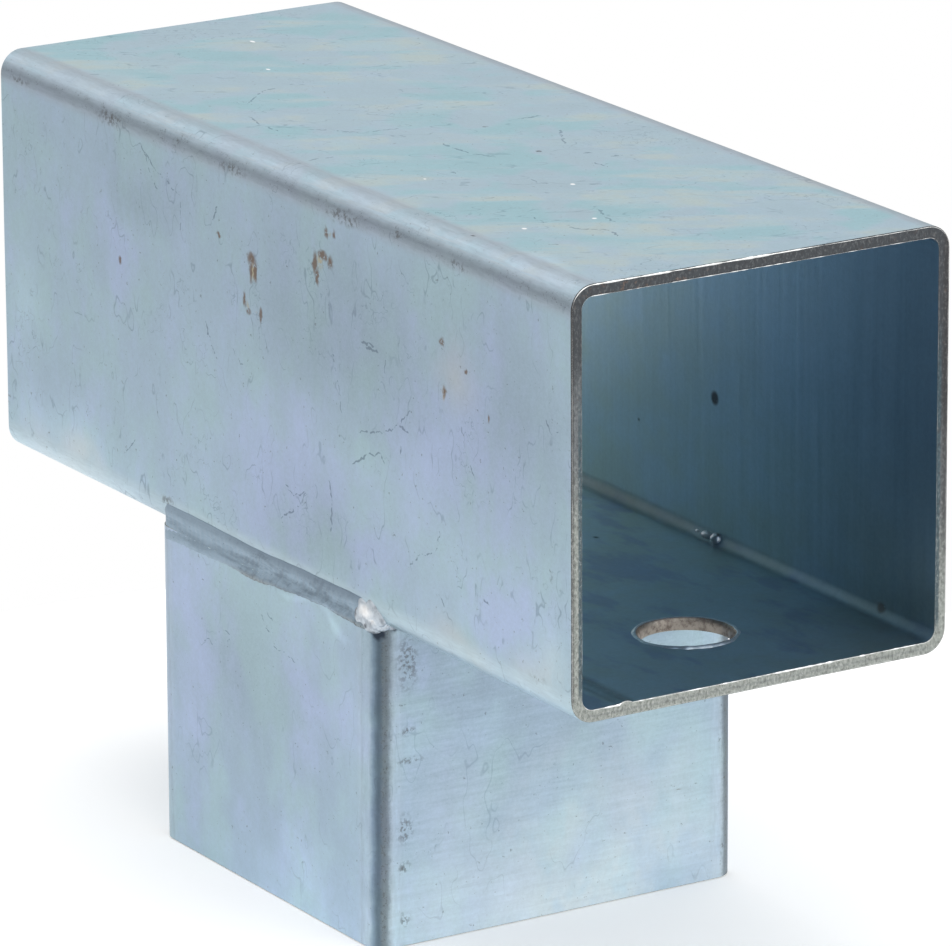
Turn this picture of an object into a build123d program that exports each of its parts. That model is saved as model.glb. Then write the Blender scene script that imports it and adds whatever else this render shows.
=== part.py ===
from build123d import *
import os

# A square tube connector in the shape of a T: a cross tube with an open socket at each end,
# and a branch tube butted under it and welded along both sides. It stands on the branch's open
# end. +X runs along the cross tube and +Z is up. The origin is under the middle of the cross
# tube, at the height of the branch's rim.

# Square tube stock, the same for both tubes (mm)
tube_width = 70.0
tube_wall = 2.0
tube_corner = 4.0

# Ridge that the tube's own seam weld leaves inside it
seam_from_side = 10.0
seam_width = 2.4
seam_height = 0.6

# Lengths, and how far the branch is welded off the middle of the cross tube
cross_length = 180.0
branch_length = 55.0
branch_shift = -4.0

# Bolt holes in the underside of the cross tube, one in each socket
hole_diameter = 17.0
hole_from_end = 25.0
hole_shift = 2.0

# Side welds: how far the bead laps onto each tube, stands proud and reaches in
weld_lap_branch = 1.8
weld_lap_cross = 0.3
weld_crown = 0.4
weld_root = 1.6

# Nuggets where each bead starts, at the branch's far corner, and stops, at its near corner
start_nugget_length = 5.0
start_nugget_radius = 1.7
stop_nugget_length = 9.0
stop_nugget_radius = 2.1
nugget_proud = 0.8

half_width = tube_width / 2
half_length = cross_length / 2
inner_width = tube_width - 2 * tube_wall
inner_corner = max(tube_corner - tube_wall, tube_wall / 4)
seam_offset = half_width - seam_from_side
cross_axis_height = branch_length + half_width

cross_plane = Plane(origin=(-half_length, 0, cross_axis_height), x_dir=(0, 1, 0), z_dir=(1, 0, 0))
branch_plane = Plane(origin=(branch_shift, 0, 0), x_dir=(0, -1, 0), z_dir=(0, 0, 1))


def tube_outline():
    """Draws the outside of the tube stock in the sketch that is open."""
    RectangleRounded(tube_width, tube_width, tube_corner)


def tube_section():
    """Draws the wall of the tube stock, with its seam ridge inside the lower side."""
    tube_outline()
    RectangleRounded(inner_width, inner_width, inner_corner, mode=Mode.SUBTRACT)
    with Locations((-seam_offset, -inner_width / 2)):
        Ellipse(seam_width / 2, seam_height)


# Cross tube: the seam lies in its bottom wall, and a bolt hole is drilled up into each socket
with BuildPart() as cross_tube:
    with BuildSketch(cross_plane):
        tube_section()
    extrude(amount=cross_length)
    with BuildSketch(Plane.XY.offset(branch_length - tube_wall)):
        with Locations((hole_from_end - half_length, hole_shift), (half_length - hole_from_end, hole_shift)):
            Circle(hole_diameter / 2)
    extrude(amount=3 * tube_wall, mode=Mode.SUBTRACT)

# Branch tube: its seam lies in the wall that faces -X
with BuildPart() as branch_tube:
    with BuildSketch(branch_plane):
        tube_section()
    extrude(amount=branch_length)

# Both tubes filled in, which cut the welds back to the outside of the metal
with BuildPart() as filled_tubes:
    with BuildSketch(cross_plane):
        tube_outline()
    extrude(amount=cross_length)
    with BuildSketch(branch_plane):
        tube_outline()
    extrude(amount=branch_length)

# Side weld: it fills the groove between the round corner of the cross tube and the branch's
# wall, and follows the branch half way round each of its corners
weld_top = branch_length + tube_corner + weld_lap_cross
weld_bottom = branch_length - weld_lap_branch
weld_middle = (weld_top + weld_bottom) / 2
branch_far = branch_shift - half_width
branch_near = branch_shift + half_width
corner_row = -half_width + tube_corner
section_plane = Plane(origin=(branch_shift, 0, 0), x_dir=(0, 1, 0), z_dir=(1, 0, 0))


def nugget(length, radius, end):
    """Adds a drop of weld metal, round about the line of the bead, to the part that is open."""
    row = -half_width - nugget_proud + radius
    height = branch_length + tube_corner / 2
    with BuildSketch(Plane(origin=(end, row, height), x_dir=(1, 0, 0), z_dir=(0, -1, 0))) as profile:
        Ellipse(length / 2, radius)
        with Locations((0, -radius)):
            Rectangle(length, 2 * radius, mode=Mode.SUBTRACT)
    revolve(profile.sketch, axis=Axis((end, row, height), (1, 0, 0)))


with BuildPart() as weld_front:
    with BuildLine(Plane.XY.offset(branch_length)) as weld_path:
        Line((branch_far + tube_corner, -half_width), (branch_near - tube_corner, -half_width))
        CenterArc((branch_far + tube_corner, corner_row), tube_corner, 270, -45)
        CenterArc((branch_near - tube_corner, corner_row), tube_corner, 270, 45)
    with BuildSketch(section_plane):
        with BuildLine():
            ThreePointArc(
                (-half_width, weld_top),
                (-half_width - weld_crown, weld_middle),
                (-half_width, weld_bottom),
            )
            Polyline(
                (-half_width, weld_bottom),
                (-half_width + weld_root, weld_bottom),
                (-half_width + weld_root, weld_top),
                (-half_width, weld_top),
            )
        make_face()
    sweep(path=weld_path.line)
    nugget(start_nugget_length, start_nugget_radius, branch_far + start_nugget_length / 2)
    nugget(stop_nugget_length, stop_nugget_radius, branch_near)
    add(filled_tubes.part, mode=Mode.SUBTRACT)

with BuildPart() as weld_back:
    add(mirror(weld_front.part, about=Plane.XZ))

cross_tube.part.label = "cross_tube"
branch_tube.part.label = "branch_tube"
weld_front.part.label = "weld_front"
weld_back.part.label = "weld_back"

os.makedirs("parts", exist_ok=True)
export_step(cross_tube.part, "parts/cross_tube.step")
export_step(branch_tube.part, "parts/branch_tube.step")
export_step(weld_front.part, "parts/weld_front.step")
export_step(weld_back.part, "parts/weld_back.step")
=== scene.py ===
import logging
import math
from dataclasses import dataclass, field, replace
from enum import Enum
from typing import Iterable, Sequence

import bmesh
import bpy
import numpy as np
from mathutils import Matrix, Vector, noise


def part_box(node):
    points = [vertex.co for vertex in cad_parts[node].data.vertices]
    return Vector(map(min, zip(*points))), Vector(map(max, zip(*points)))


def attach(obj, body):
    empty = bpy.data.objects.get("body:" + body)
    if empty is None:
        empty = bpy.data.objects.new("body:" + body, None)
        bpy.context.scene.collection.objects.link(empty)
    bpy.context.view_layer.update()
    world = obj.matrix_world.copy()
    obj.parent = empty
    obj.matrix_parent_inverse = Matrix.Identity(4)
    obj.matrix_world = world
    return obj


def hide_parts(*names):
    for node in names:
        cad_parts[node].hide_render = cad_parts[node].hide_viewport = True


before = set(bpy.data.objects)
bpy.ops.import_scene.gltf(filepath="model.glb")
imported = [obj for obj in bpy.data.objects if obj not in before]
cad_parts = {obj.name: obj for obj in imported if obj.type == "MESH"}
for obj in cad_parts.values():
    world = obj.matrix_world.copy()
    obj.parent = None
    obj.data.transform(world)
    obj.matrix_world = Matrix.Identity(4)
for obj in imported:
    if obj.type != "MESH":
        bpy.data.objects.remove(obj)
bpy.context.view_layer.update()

LOG = logging.getLogger("connector")
MM = 0.001
ROOT = "root"

# Places on the part that the finishes follow, in millimetres
AXIS = 90.0
TOP = 125.0
FRONT = -35.0
BRANCH_CENTRE = -4.0
BRANCH_END = 31.0

Colour = tuple[float, float, float]
Place = tuple[float, float, float]


def paint(red: float, green: float, blue: float) -> Colour:
    """Turns a display colour into a linear one.

    Args:
        red: Red, from 0 to 255.
        green: Green, from 0 to 255.
        blue: Blue, from 0 to 255.

    Returns:
        The linear colour, each part from 0 to 1.
    """
    def linear(value: float) -> float:
        """Turns one display value into a linear one."""
        share = value / 255
        return share / 12.92 if share <= 0.04045 else ((share + 0.055) / 1.055) ** 2.4

    return linear(red), linear(green), linear(blue)


BLACK: Colour = (0.0, 0.0, 0.0)
WHITE: Colour = (1.0, 1.0, 1.0)


class Wire:
    """A node's output that takes part in Python expressions on numbers."""

    def __init__(self, graph: "Graph", socket: bpy.types.NodeSocket) -> None:
        """Keeps the socket and the graph that it belongs to."""
        self.graph = graph
        self.socket = socket

    def _math(self, operation: str, first: "Wire | float", second: "Wire | float") -> "Wire":
        """Adds a Math node for one operation on two values."""
        made = self.graph.node("ShaderNodeMath", {"operation": operation}, {0: first, 1: second})
        return Wire(self.graph, made.outputs[0])

    def __add__(self, other: "Wire | float") -> "Wire":
        """Adds."""
        return self._math("ADD", self, other)

    __radd__ = __add__

    def __sub__(self, other: "Wire | float") -> "Wire":
        """Subtracts."""
        return self._math("SUBTRACT", self, other)

    def __rsub__(self, other: float) -> "Wire":
        """Subtracts from a number."""
        return self._math("SUBTRACT", other, self)

    def __mul__(self, other: "Wire | float") -> "Wire":
        """Multiplies."""
        return self._math("MULTIPLY", self, other)

    __rmul__ = __mul__

    def times_plus(self, factor: float, extra: float) -> "Wire":
        """Multiplies by one number and adds another, in one node."""
        inputs = {0: self, 1: factor, 2: extra}
        made = self.graph.node("ShaderNodeMath", {"operation": "MULTIPLY_ADD"}, inputs)
        return Wire(self.graph, made.outputs[0])

    def larger(self, other: "Wire | float") -> "Wire":
        """Takes the larger of two values."""
        return self._math("MAXIMUM", self, other)

    def smaller(self, other: "Wire | float") -> "Wire":
        """Takes the smaller of two values."""
        return self._math("MINIMUM", self, other)

    def size(self) -> "Wire":
        """Takes the value without its sign."""
        return self._math("ABSOLUTE", self, 0.0)

    def rise(self, low: float, high: float) -> "Wire":
        """Goes smoothly from 0 at low to 1 at high, or falls where low is the larger.

        Args:
            low: The value that gives 0.
            high: The value that gives 1.

        Returns:
            A mask from 0 to 1.
        """
        settings = {"interpolation_type": "SMOOTHSTEP", "clamp": True}
        start, end, first, last = (low, high, 0.0, 1.0) if low < high else (high, low, 1.0, 0.0)
        inputs = {"Value": self, "From Min": start, "From Max": end, "To Min": first, "To Max": last}
        made = self.graph.node("ShaderNodeMapRange", settings, inputs)
        return Wire(self.graph, made.outputs["Result"])


class Graph:
    """The node tree of one material, with one method that adds any node."""

    def __init__(self, name: str) -> None:
        """Starts an empty node material.

        Args:
            name: The material's name.
        """
        self.material = bpy.data.materials.new(name)
        self.material.use_nodes = True
        self.tree = self.material.node_tree
        self.tree.nodes.clear()

    def node(
        self,
        kind: str,
        settings: dict[str, object] | None = None,
        inputs: dict[str | int, object] | None = None,
    ) -> bpy.types.Node:
        """Adds a node, sets it up, and then feeds its sockets.

        Args:
            kind: The node's type.
            settings: Its own settings, set first; "stops" gives a ramp its places and grey values.
            inputs: Values or wires for its sockets, by name or number.

        Returns:
            The new node.
        """
        made = self.tree.nodes.new(kind)
        for key, value in (settings or {}).items():
            if key == "stops":
                self._stops(made.color_ramp, value)
            else:
                setattr(made, key, value)
        for key, value in (inputs or {}).items():
            if isinstance(value, Wire):
                self.tree.links.new(value.socket, made.inputs[key])
            else:
                made.inputs[key].default_value = value
        return made

    def _stops(self, ramp: bpy.types.ColorRamp, stops: Sequence[tuple[float, float]]) -> None:
        """Sets a ramp's stops, each a place and a grey value."""
        while len(ramp.elements) < len(stops):
            ramp.elements.new(1.0)
        for element, (place, grey) in zip(ramp.elements, stops):
            element.position = place
            element.color = (grey, grey, grey, 1.0)

    def profile(self, value: Wire, low: float, high: float, stops: Sequence[tuple[float, float]]) -> Wire:
        """Reads a curve of grey values, given by its stops, at a value.

        Args:
            value: Where the curve is read.
            low: The value of the curve's left end.
            high: The value of its right end.
            stops: Places in the value's own unit, each with its grey value from 0 to 1.

        Returns:
            The curve's value.
        """
        spread = [((place - low) / (high - low), grey) for place, grey in stops]
        share = (value - low) * (1 / (high - low))
        made = self.node("ShaderNodeValToRGB", {"stops": spread}, {"Fac": share})
        return Wire(self, made.outputs["Color"])

    def place(self) -> Wire:
        """Gives the point on the surface, in millimetres of the part's frame."""
        raw = Wire(self, self.node("ShaderNodeTexCoord").outputs["Object"])
        made = self.node("ShaderNodeVectorMath", {"operation": "SCALE"}, {0: raw, "Scale": 1 / MM})
        return Wire(self, made.outputs[0])

    def split(self, vector: Wire) -> tuple[Wire, Wire, Wire]:
        """Gives the three parts of a vector."""
        made = self.node("ShaderNodeSeparateXYZ", None, {0: vector})
        return Wire(self, made.outputs[0]), Wire(self, made.outputs[1]), Wire(self, made.outputs[2])

    def stretch(self, vector: Wire, factors: Place, offset: Place = (0.0, 0.0, 0.0)) -> Wire:
        """Multiplies and moves a vector.

        Args:
            vector: The vector.
            factors: What each part is multiplied by.
            offset: What is then added to each part.

        Returns:
            The new vector.
        """
        inputs = {0: vector, 1: factors, 2: offset}
        made = self.node("ShaderNodeVectorMath", {"operation": "MULTIPLY_ADD"}, inputs)
        return Wire(self, made.outputs[0])

    def warp(self, vector: Wire, scale: float, amount: float, detail: float = 2.0) -> Wire:
        """Bends a field of points with noise.

        Args:
            vector: The points, in millimetres.
            scale: The noise's scale.
            amount: How far a point may move.
            detail: How many finer layers the noise has.

        Returns:
            The bent points.
        """
        inputs = {"Vector": vector, "Scale": scale, "Detail": detail}
        clouds = self.node("ShaderNodeTexNoise", None, inputs)
        swing = self.node(
            "ShaderNodeVectorMath",
            {"operation": "MULTIPLY_ADD"},
            {0: Wire(self, clouds.outputs["Color"]), 1: (amount,) * 3, 2: (-amount / 2,) * 3},
        )
        made = self.node("ShaderNodeVectorMath", None, {0: vector, 1: Wire(self, swing.outputs[0])})
        return Wire(self, made.outputs[0])

    def noise(self, vector: Wire, scale: float, detail: float = 2.0, roughness: float = 0.5) -> Wire:
        """Gives cloudy noise from 0 to 1.

        Args:
            vector: Where it is read.
            scale: How fine it is.
            detail: How many finer layers it has.
            roughness: How strong those layers are.

        Returns:
            The noise's value.
        """
        inputs = {"Vector": vector, "Scale": scale, "Detail": detail, "Roughness": roughness}
        return Wire(self, self.node("ShaderNodeTexNoise", None, inputs).outputs[0])

    def distance(self, vector: Wire, centre: Place, shape: Place = (1.0, 1.0, 1.0)) -> Wire:
        """Measures how far a point lies from a centre.

        Args:
            vector: The points.
            centre: The centre.
            shape: What each direction counts for.

        Returns:
            The distance.
        """
        away = self.stretch(vector, shape, tuple(-c * s for c, s in zip(centre, shape)))
        made = self.node("ShaderNodeVectorMath", {"operation": "LENGTH"}, {0: away})
        return Wire(self, made.outputs["Value"])

    def away_from(self, vector: Wire, place: Place) -> Wire:
        """Measures how far a point lies from a place."""
        made = self.node("ShaderNodeVectorMath", {"operation": "DISTANCE"}, {0: vector, 1: place})
        return Wire(self, made.outputs["Value"])

    def scaled(self, colour: Wire, tone: Wire | float) -> Wire:
        """Multiplies a colour by a tone."""
        made = self.node("ShaderNodeVectorMath", {"operation": "SCALE"}, {0: colour, "Scale": tone})
        return Wire(self, made.outputs[0])

    def blend(self, mask: Wire | float, below: Wire | Colour, above: Wire | Colour, way: str = "MIX") -> Wire:
        """Lays one colour over another.

        Args:
            mask: How much of the upper colour shows.
            below: The lower colour.
            above: The upper colour.
            way: How the two are combined.

        Returns:
            The mixed colour.
        """
        lower = below if isinstance(below, Wire) else (*below, 1.0)
        upper = above if isinstance(above, Wire) else (*above, 1.0)
        settings = {"data_type": "RGBA", "blend_type": way}
        made = self.node("ShaderNodeMix", settings, {0: mask, 6: lower, 7: upper})
        return Wire(self, made.outputs[2])

    def bump(self, height: Wire, depth: float, strength: float = 1.0) -> Wire:
        """Turns a height into a normal.

        Args:
            height: The height, from 0 to 1.
            depth: What a height of 1 stands for, in metres.
            strength: How strongly it shows.

        Returns:
            The normal.
        """
        inputs = {"Height": height, "Distance": depth, "Strength": strength}
        return Wire(self, self.node("ShaderNodeBump", None, inputs).outputs["Normal"])

    def finish(self, **sockets: object) -> bpy.types.Material:
        """Ends the tree in one Principled shader.

        Args:
            sockets: Values or wires of the shader's sockets, with _ for each space in a name.

        Returns:
            The finished material.
        """
        inputs = {name.replace("_", " "): value for name, value in sockets.items()}
        shader = self.node("ShaderNodeBsdfPrincipled", None, inputs)
        end = self.node("ShaderNodeOutputMaterial")
        self.tree.links.new(shader.outputs["BSDF"], end.inputs["Surface"])
        return self.material

    def whiten(self, mask: Wire) -> None:
        """Lays plain white light over a finished tree.

        Args:
            mask: Where the white lies.
        """
        surface = self.tree.get_output_node("ALL").inputs["Surface"]
        white = self.node("ShaderNodeEmission", None, {"Strength": 1.0})
        mixed = self.node("ShaderNodeMixShader", None, {0: mask})
        self.tree.links.new(surface.links[0].from_socket, mixed.inputs[1])
        self.tree.links.new(white.outputs[0], mixed.inputs[2])
        self.tree.links.new(mixed.outputs[0], surface)


@dataclass(frozen=True)
class Mark:
    """A stain or patch at one place, in millimetres: its centre, its reach each way and its strength."""

    at: Place
    reach: Place
    strength: float = 1.0


@dataclass(frozen=True)
class Stroke:
    """A hairline through places on a face, in millimetres, with half its width."""

    through: tuple[Place, ...]
    width: float = 0.13


Curve = tuple[tuple[float, float], ...]

# Painted reflections round a rolled corner, as grey tones: places in millimetres from its middle, each with
# its tone, 0.5 being even
TOP_FRONT_TONE: Curve = (
    (-6.0, 0.50), (-3.8, 0.45), (-2.6, 0.465), (-0.8, 0.59), (0.5, 0.58), (1.6, 0.47),
    (2.7, 0.37), (3.8, 0.41), (4.6, 0.485), (6.0, 0.50),
)
TOP_BACK_TONE: Curve = (
    (-6.0, 0.50), (-4.6, 0.49), (-3.7, 0.44), (-2.4, 0.42), (0.0, 0.48), (6.0, 0.50),
)
LOWER_TONE: Curve = (
    (-6.0, 0.50), (-4.2, 0.54), (-2.0, 0.60), (0.6, 0.58), (3.0, 0.55), (4.4, 0.53), (6.0, 0.50),
)
BRANCH_TONE: Curve = (
    (-6.0, 0.50), (-4.2, 0.53), (-3.6, 0.48), (-3.0, 0.52), (-1.7, 0.52), (-1.1, 0.42), (-0.5, 0.30),
    (0.1, 0.21), (0.6, 0.165), (1.1, 0.175), (1.6, 0.205), (2.4, 0.22), (2.9, 0.28), (3.4, 0.42),
    (3.9, 0.51), (4.6, 0.53), (6.0, 0.50),
)
CORNER_REACH = 6.0


def strokes_mask(graph: Graph, points: Wire, strokes: Iterable[Stroke]) -> Wire:
    """Draws hairlines as slim spindles from place to place.

    A point belongs to a spindle while the way over it from one end to the other is hardly longer than
    the straight way.

    Args:
        graph: The material's graph.
        points: The points, in millimetres.
        strokes: The hairlines.

    Returns:
        A mask from 0 to 1.
    """
    nearest = Wire(graph, graph.node("ShaderNodeValue").outputs[0])
    nearest.socket.default_value = 9.0
    for stroke in strokes:
        last = graph.away_from(points, stroke.through[0])
        for start, end in zip(stroke.through, stroke.through[1:]):
            following = graph.away_from(points, end)
            length = (Vector(end) - Vector(start)).length
            slim = length / (2 * stroke.width ** 2)
            nearest = nearest.smaller((last + following).times_plus(slim, -length * slim))
            last = following
    return nearest.rise(1.8, 0.3)


def on_side(*places: tuple[float, float]) -> tuple[Place, ...]:
    """Puts places given by x and z on the side face."""
    return tuple((x, FRONT, z) for x, z in places)


def on_top(*places: tuple[float, float]) -> tuple[Place, ...]:
    """Puts places given by x and y on the top face."""
    return tuple((x, y, TOP) for x, y in places)


def marks_mask(graph: Graph, points: Wire, marks: Iterable[Mark], full: float = 0.5) -> Wire:
    """Joins many marks into one mask.

    Args:
        graph: The material's graph.
        points: The points, in millimetres.
        marks: The marks.
        full: The share of a mark's reach within which it is at its full strength.

    Returns:
        A mask from 0 to 1.
    """
    nearest = Wire(graph, graph.node("ShaderNodeValue").outputs[0])
    nearest.socket.default_value = 1.0
    for mark in marks:
        away = graph.distance(points, mark.at, tuple(1 / r for r in mark.reach))
        nearest = nearest.smaller(away if mark.strength == 1.0 else away + (1 - mark.strength))
    return nearest.rise(1.0, full)


class Sort(Enum):
    """Which tube a plated finish is for."""

    CROSS = "cross"
    BRANCH = "branch"


class Face(Enum):
    """Which faces of a tube a finish covers."""

    ALL = "all"
    TOP = "top"
    FRONT = "front"
    REST = "rest"


@dataclass(frozen=True)
class PlatedSteel:
    """Zinc plating with a blue passivate: pale blue steel with lilac, sea-green and straw bloom."""

    sort: Sort
    face: Face = Face.ALL
    base: Colour = paint(167, 188, 204)
    lilac: Colour = paint(173, 189, 216)
    sea_green: Colour = paint(168, 193, 202)
    cream: Colour = paint(184, 193, 196)
    cyan: Colour = paint(151, 189, 199)
    straw: Colour = paint(176, 190, 188)
    haze: Colour = paint(162, 187, 198)
    hair: Colour = paint(92, 106, 122)
    rust: Colour = paint(104, 84, 68)
    tan: Colour = paint(178, 162, 122)
    dirt: Colour = paint(84, 84, 82)
    pit: Colour = paint(44, 52, 64)
    # rolled and lip colour the painted reflections of the upper and lower corners; slate tints the branch's
    # painted dark reflection
    rolled: Colour = paint(167, 176, 188)
    lip: Colour = paint(180, 198, 206)
    slate: Colour = (0.88, 0.96, 1.04)
    worn: Colour = (1.14, 1.04, 0.96)
    glint: Colour = (0.95, 0.96, 0.97)
    metallic: float = 0.92
    roughness: float = 0.30
    drip_angle: float = -57.0
    blooms: tuple[Mark, ...] = ()
    greens: tuple[Mark, ...] = ()
    creams: tuple[Mark, ...] = ()
    shades: tuple[Mark, ...] = ()
    glows: tuple[Mark, ...] = ()
    rusts: tuple[Mark, ...] = ()
    tans: tuple[Mark, ...] = ()
    grime: tuple[Mark, ...] = ()
    # pits are dark pits; on the branch they are painted shadow in the crevices under the weld drop
    pits: tuple[Mark, ...] = ()
    flecks: tuple[Mark, ...] = ()
    hairs: tuple[Stroke, ...] = ()

    def only(self, face: Face) -> "PlatedSteel":
        """Keeps the marks that one face shows, so that its shader stays light.

        The large marks of the front reach over the rolled corner to the top, but not the other way.

        Args:
            face: The face.

        Returns:
            The finish of that face.
        """
        def here(place: Place) -> bool:
            """Tells whether a place lies on the face."""
            return face is (Face.TOP if place[2] > TOP - 1.0 else Face.FRONT)

        def kept(marks: tuple[Mark, ...]) -> tuple[Mark, ...]:
            """Picks the marks that lie on the face."""
            return tuple(mark for mark in marks if here(mark.at))

        shown = face is not Face.REST
        return replace(
            self,
            face=face,
            blooms=self.blooms if face is Face.FRONT else (),
            greens=self.greens if shown else (),
            creams=self.creams if face is Face.FRONT else (),
            shades=self.shades if face is Face.FRONT else (),
            glows=self.glows if shown else (),
            rusts=kept(self.rusts),
            tans=kept(self.tans),
            grime=kept(self.grime),
            pits=kept(self.pits),
            flecks=kept(self.flecks),
            hairs=tuple(hair for hair in self.hairs if here(hair.through[0])),
        )

    def material(self) -> bpy.types.Material:
        """Builds the material of the tube's outside.

        Returns:
            The material.
        """
        graph = Graph(f"plated_{self.sort.value}_{self.face.value}")
        points = graph.place()
        x, _, z = graph.split(points)
        lying = z.rise(TOP - 3.5, TOP - 1.0)
        loose = graph.warp(points, 0.07, 12.0, 0.0)
        ragged = graph.warp(points, 0.9, 1.2, 1.0)
        slant = self._slant(graph, points)
        streak = self._streaks(graph, points, slant, lying)
        grain = graph.noise(points, 1.7, 2.0, 0.9)
        colour, clouds = self._bloom(graph, points, loose, lying, streak)
        shade = marks_mask(graph, loose, self.shades, 0.0)
        glow = marks_mask(graph, loose, self.glows, 0.0)
        tone = 0.76 + streak * 0.12 + grain * 0.26 + clouds * 0.10 - shade * 0.18 + glow * 0.26
        if self.sort is Sort.BRANCH:
            brushed = graph.noise(graph.stretch(points, (0.5, 0.14, 1.6)), 1.0, 2.0, 0.6)
            tone = tone + (brushed - 0.5) * x.rise(28.0, 31.0) * 0.26
        colour = graph.scaled(colour, tone)

        # Painted reflections along the rolled corners, as light and dark lines
        colour = self._painted_corner_reflections(graph, colour, points, grain)
        hairs = self._hairlines(graph, points, slant, ragged, lying)
        colour = graph.blend(hairs * 0.50, colour, self.hair)
        colour = self._stains(graph, colour, points, ragged)
        fleck = marks_mask(graph, points, self.flecks)
        colour = graph.blend(fleck, colour, self.glint)

        rust = marks_mask(graph, ragged, self.rusts, 0.3)
        rough = self.roughness + streak * 0.12 + grain * 0.08 + hairs * 0.2 + rust * 0.3
        return graph.finish(
            Base_Color=colour,
            Metallic=self.metallic - rust * 0.8,
            Roughness=rough,
            Normal=graph.bump(graph.noise(graph.stretch(points, (0.3, 0.3, 0.08)), 1.0, 0.0), 0.00005, 0.4),
        )

    def _slant(self, graph: Graph, points: Wire) -> Wire:
        """Turns the points so that their first part runs along the drip marks on the top."""
        settings = {"rotation_type": "Z_AXIS"}
        inputs = {"Vector": points, "Angle": math.radians(self.drip_angle)}
        made = graph.node("ShaderNodeVectorRotate", settings, inputs)
        return Wire(graph, made.outputs[0])

    def _streaks(self, graph: Graph, points: Wire, slant: Wire, lying: Wire) -> Wire:
        """Draws the faint drip marks: down the sides, and slanting across the top.

        Args:
            graph: The material's graph.
            points: The points, in millimetres.
            slant: The points, turned along the top's drip marks.
            lying: Where the surface lies flat on top.

        Returns:
            The streaks, from 0 to 1.
        """
        down = graph.stretch(points, (0.30, 0.30, 0.045))
        across = graph.stretch(slant, (0.032, 0.13, 0.13))
        way = graph.node("ShaderNodeMix", {"data_type": "VECTOR"}, {0: lying, 4: down, 5: across})
        return graph.noise(Wire(graph, way.outputs[1]), 1.0, 3.0, 0.55)

    def _bloom(
        self, graph: Graph, points: Wire, loose: Wire, lying: Wire, streak: Wire
    ) -> tuple[Wire, Wire]:
        """Tints the plating with the colours of its passivate.

        Args:
            graph: The material's graph.
            points: The points, in millimetres.
            loose: The points, bent.
            lying: Where the surface lies flat on top.
            streak: The drip marks.

        Returns:
            The tinted colour, and one field of clouds.
        """
        clouds = graph.noise(graph.stretch(points, (0.085, 0.085, 0.065)), 1.0, 3.0, 0.68)
        other = graph.noise(graph.stretch(points, (0.075, 0.075, 0.055), (7.3, 2.1, 5.5)), 1.0, 2.0, 0.6)
        standing = 1 - lying
        green = marks_mask(graph, loose, self.greens, 0.0) * 0.8 + other.rise(0.40, 0.66) * 0.9
        colour = graph.blend(green, self.base, self.sea_green)
        lilac = marks_mask(graph, loose, self.blooms, 0.0) * 0.9 + (clouds - 0.47) * 2.6
        colour = graph.blend(lilac.rise(-0.1, 1.1) * standing, colour, self.lilac)
        cream = marks_mask(graph, loose, self.creams, 0.0) * (0.5 + clouds.rise(0.36, 0.52) * 0.5)
        colour = graph.blend(cream, colour, self.cream)
        colour = graph.blend(other.rise(0.40, 0.58) * streak.rise(0.60, 0.40) * lying, colour, self.cyan)
        straw = streak.rise(0.47, 0.62) * clouds.rise(0.36, 0.60) * lying * 0.8
        colour = graph.blend(straw, colour, self.straw)
        return graph.blend(other.rise(0.50, 0.38) * lying * 0.7, colour, self.haze), clouds

    def _hairlines(self, graph: Graph, points: Wire, slant: Wire, ragged: Wire, lying: Wire) -> Wire:
        """Draws fine curled lines in the passivate: the measured ones and fainter ones between them.

        Args:
            graph: The material's graph.
            points: The points, in millimetres.
            slant: The points, turned along the top's drip marks.
            ragged: The points, bent finely.
            lying: Where the surface lies flat on top.

        Returns:
            A mask from 0 to 1.
        """
        measured = strokes_mask(graph, ragged, self.hairs)
        upright = graph.stretch(points, (0.15, 0.15, 0.08))
        flat = graph.stretch(slant, (0.06, 0.15, 0.15))
        way = graph.node("ShaderNodeMix", {"data_type": "VECTOR"}, {0: lying, 4: upright, 5: flat})
        spread = graph.noise(Wire(graph, way.outputs[1]), 1.0, 2.0, 0.5)
        fine = graph.noise(points, 0.28, 2.0, 0.6)
        patch = graph.noise(points, 0.06, 2.0, 0.6)
        if self.sort is Sort.BRANCH:
            return measured.larger((spread - 0.5).size().rise(0.008, 0.001) * patch.rise(0.50, 0.60) * 0.4)
        first = (spread - 0.5).size().rise(0.010, 0.001) * patch.rise(0.46, 0.58)
        second = (spread - 0.42).size().rise(0.009, 0.001) * patch.rise(0.54, 0.44)
        curls = (fine - 0.5).size().rise(0.012, 0.001) * patch.rise(0.50, 0.60) * spread.rise(0.48, 0.58)
        broken = fine.rise(0.40, 0.54)
        return measured.larger((first * 0.6).larger(second * 0.5) * broken).larger(curls * 0.6)

    def _stains(self, graph: Graph, colour: Wire, points: Wire, ragged: Wire) -> Wire:
        """Lays specks, rust, dirt and pits over the plating; on the branch the pits are painted shadow in the
        crevices under the weld drop.

        Args:
            graph: The material's graph.
            colour: The colour so far.
            points: The points, in millimetres.
            ragged: The points, bent finely.

        Returns:
            The stained colour.
        """
        spots = graph.noise(points, 1.25, 2.0, 0.7)
        colour = graph.blend(spots.rise(0.68, 0.75) * 0.5, colour, self.dirt)
        tan = marks_mask(graph, ragged, self.tans, 0.2) * spots.rise(0.30, 0.46)
        colour = graph.blend(tan * 0.75, colour, self.tan)
        rust = marks_mask(graph, ragged, self.rusts, 0.3) * spots.rise(0.26, 0.44)
        colour = graph.blend(rust * 0.9, colour, self.rust)
        grime = marks_mask(graph, ragged, self.grime, 0.3) * spots.rise(0.46, 0.60)
        colour = graph.blend(grime * 0.6, colour, self.dirt)
        # Pits, and on the branch painted shadow in the crevices under the weld drop
        return graph.blend(marks_mask(graph, ragged, self.pits, 0.4) * 0.92, colour, self.pit)

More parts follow.
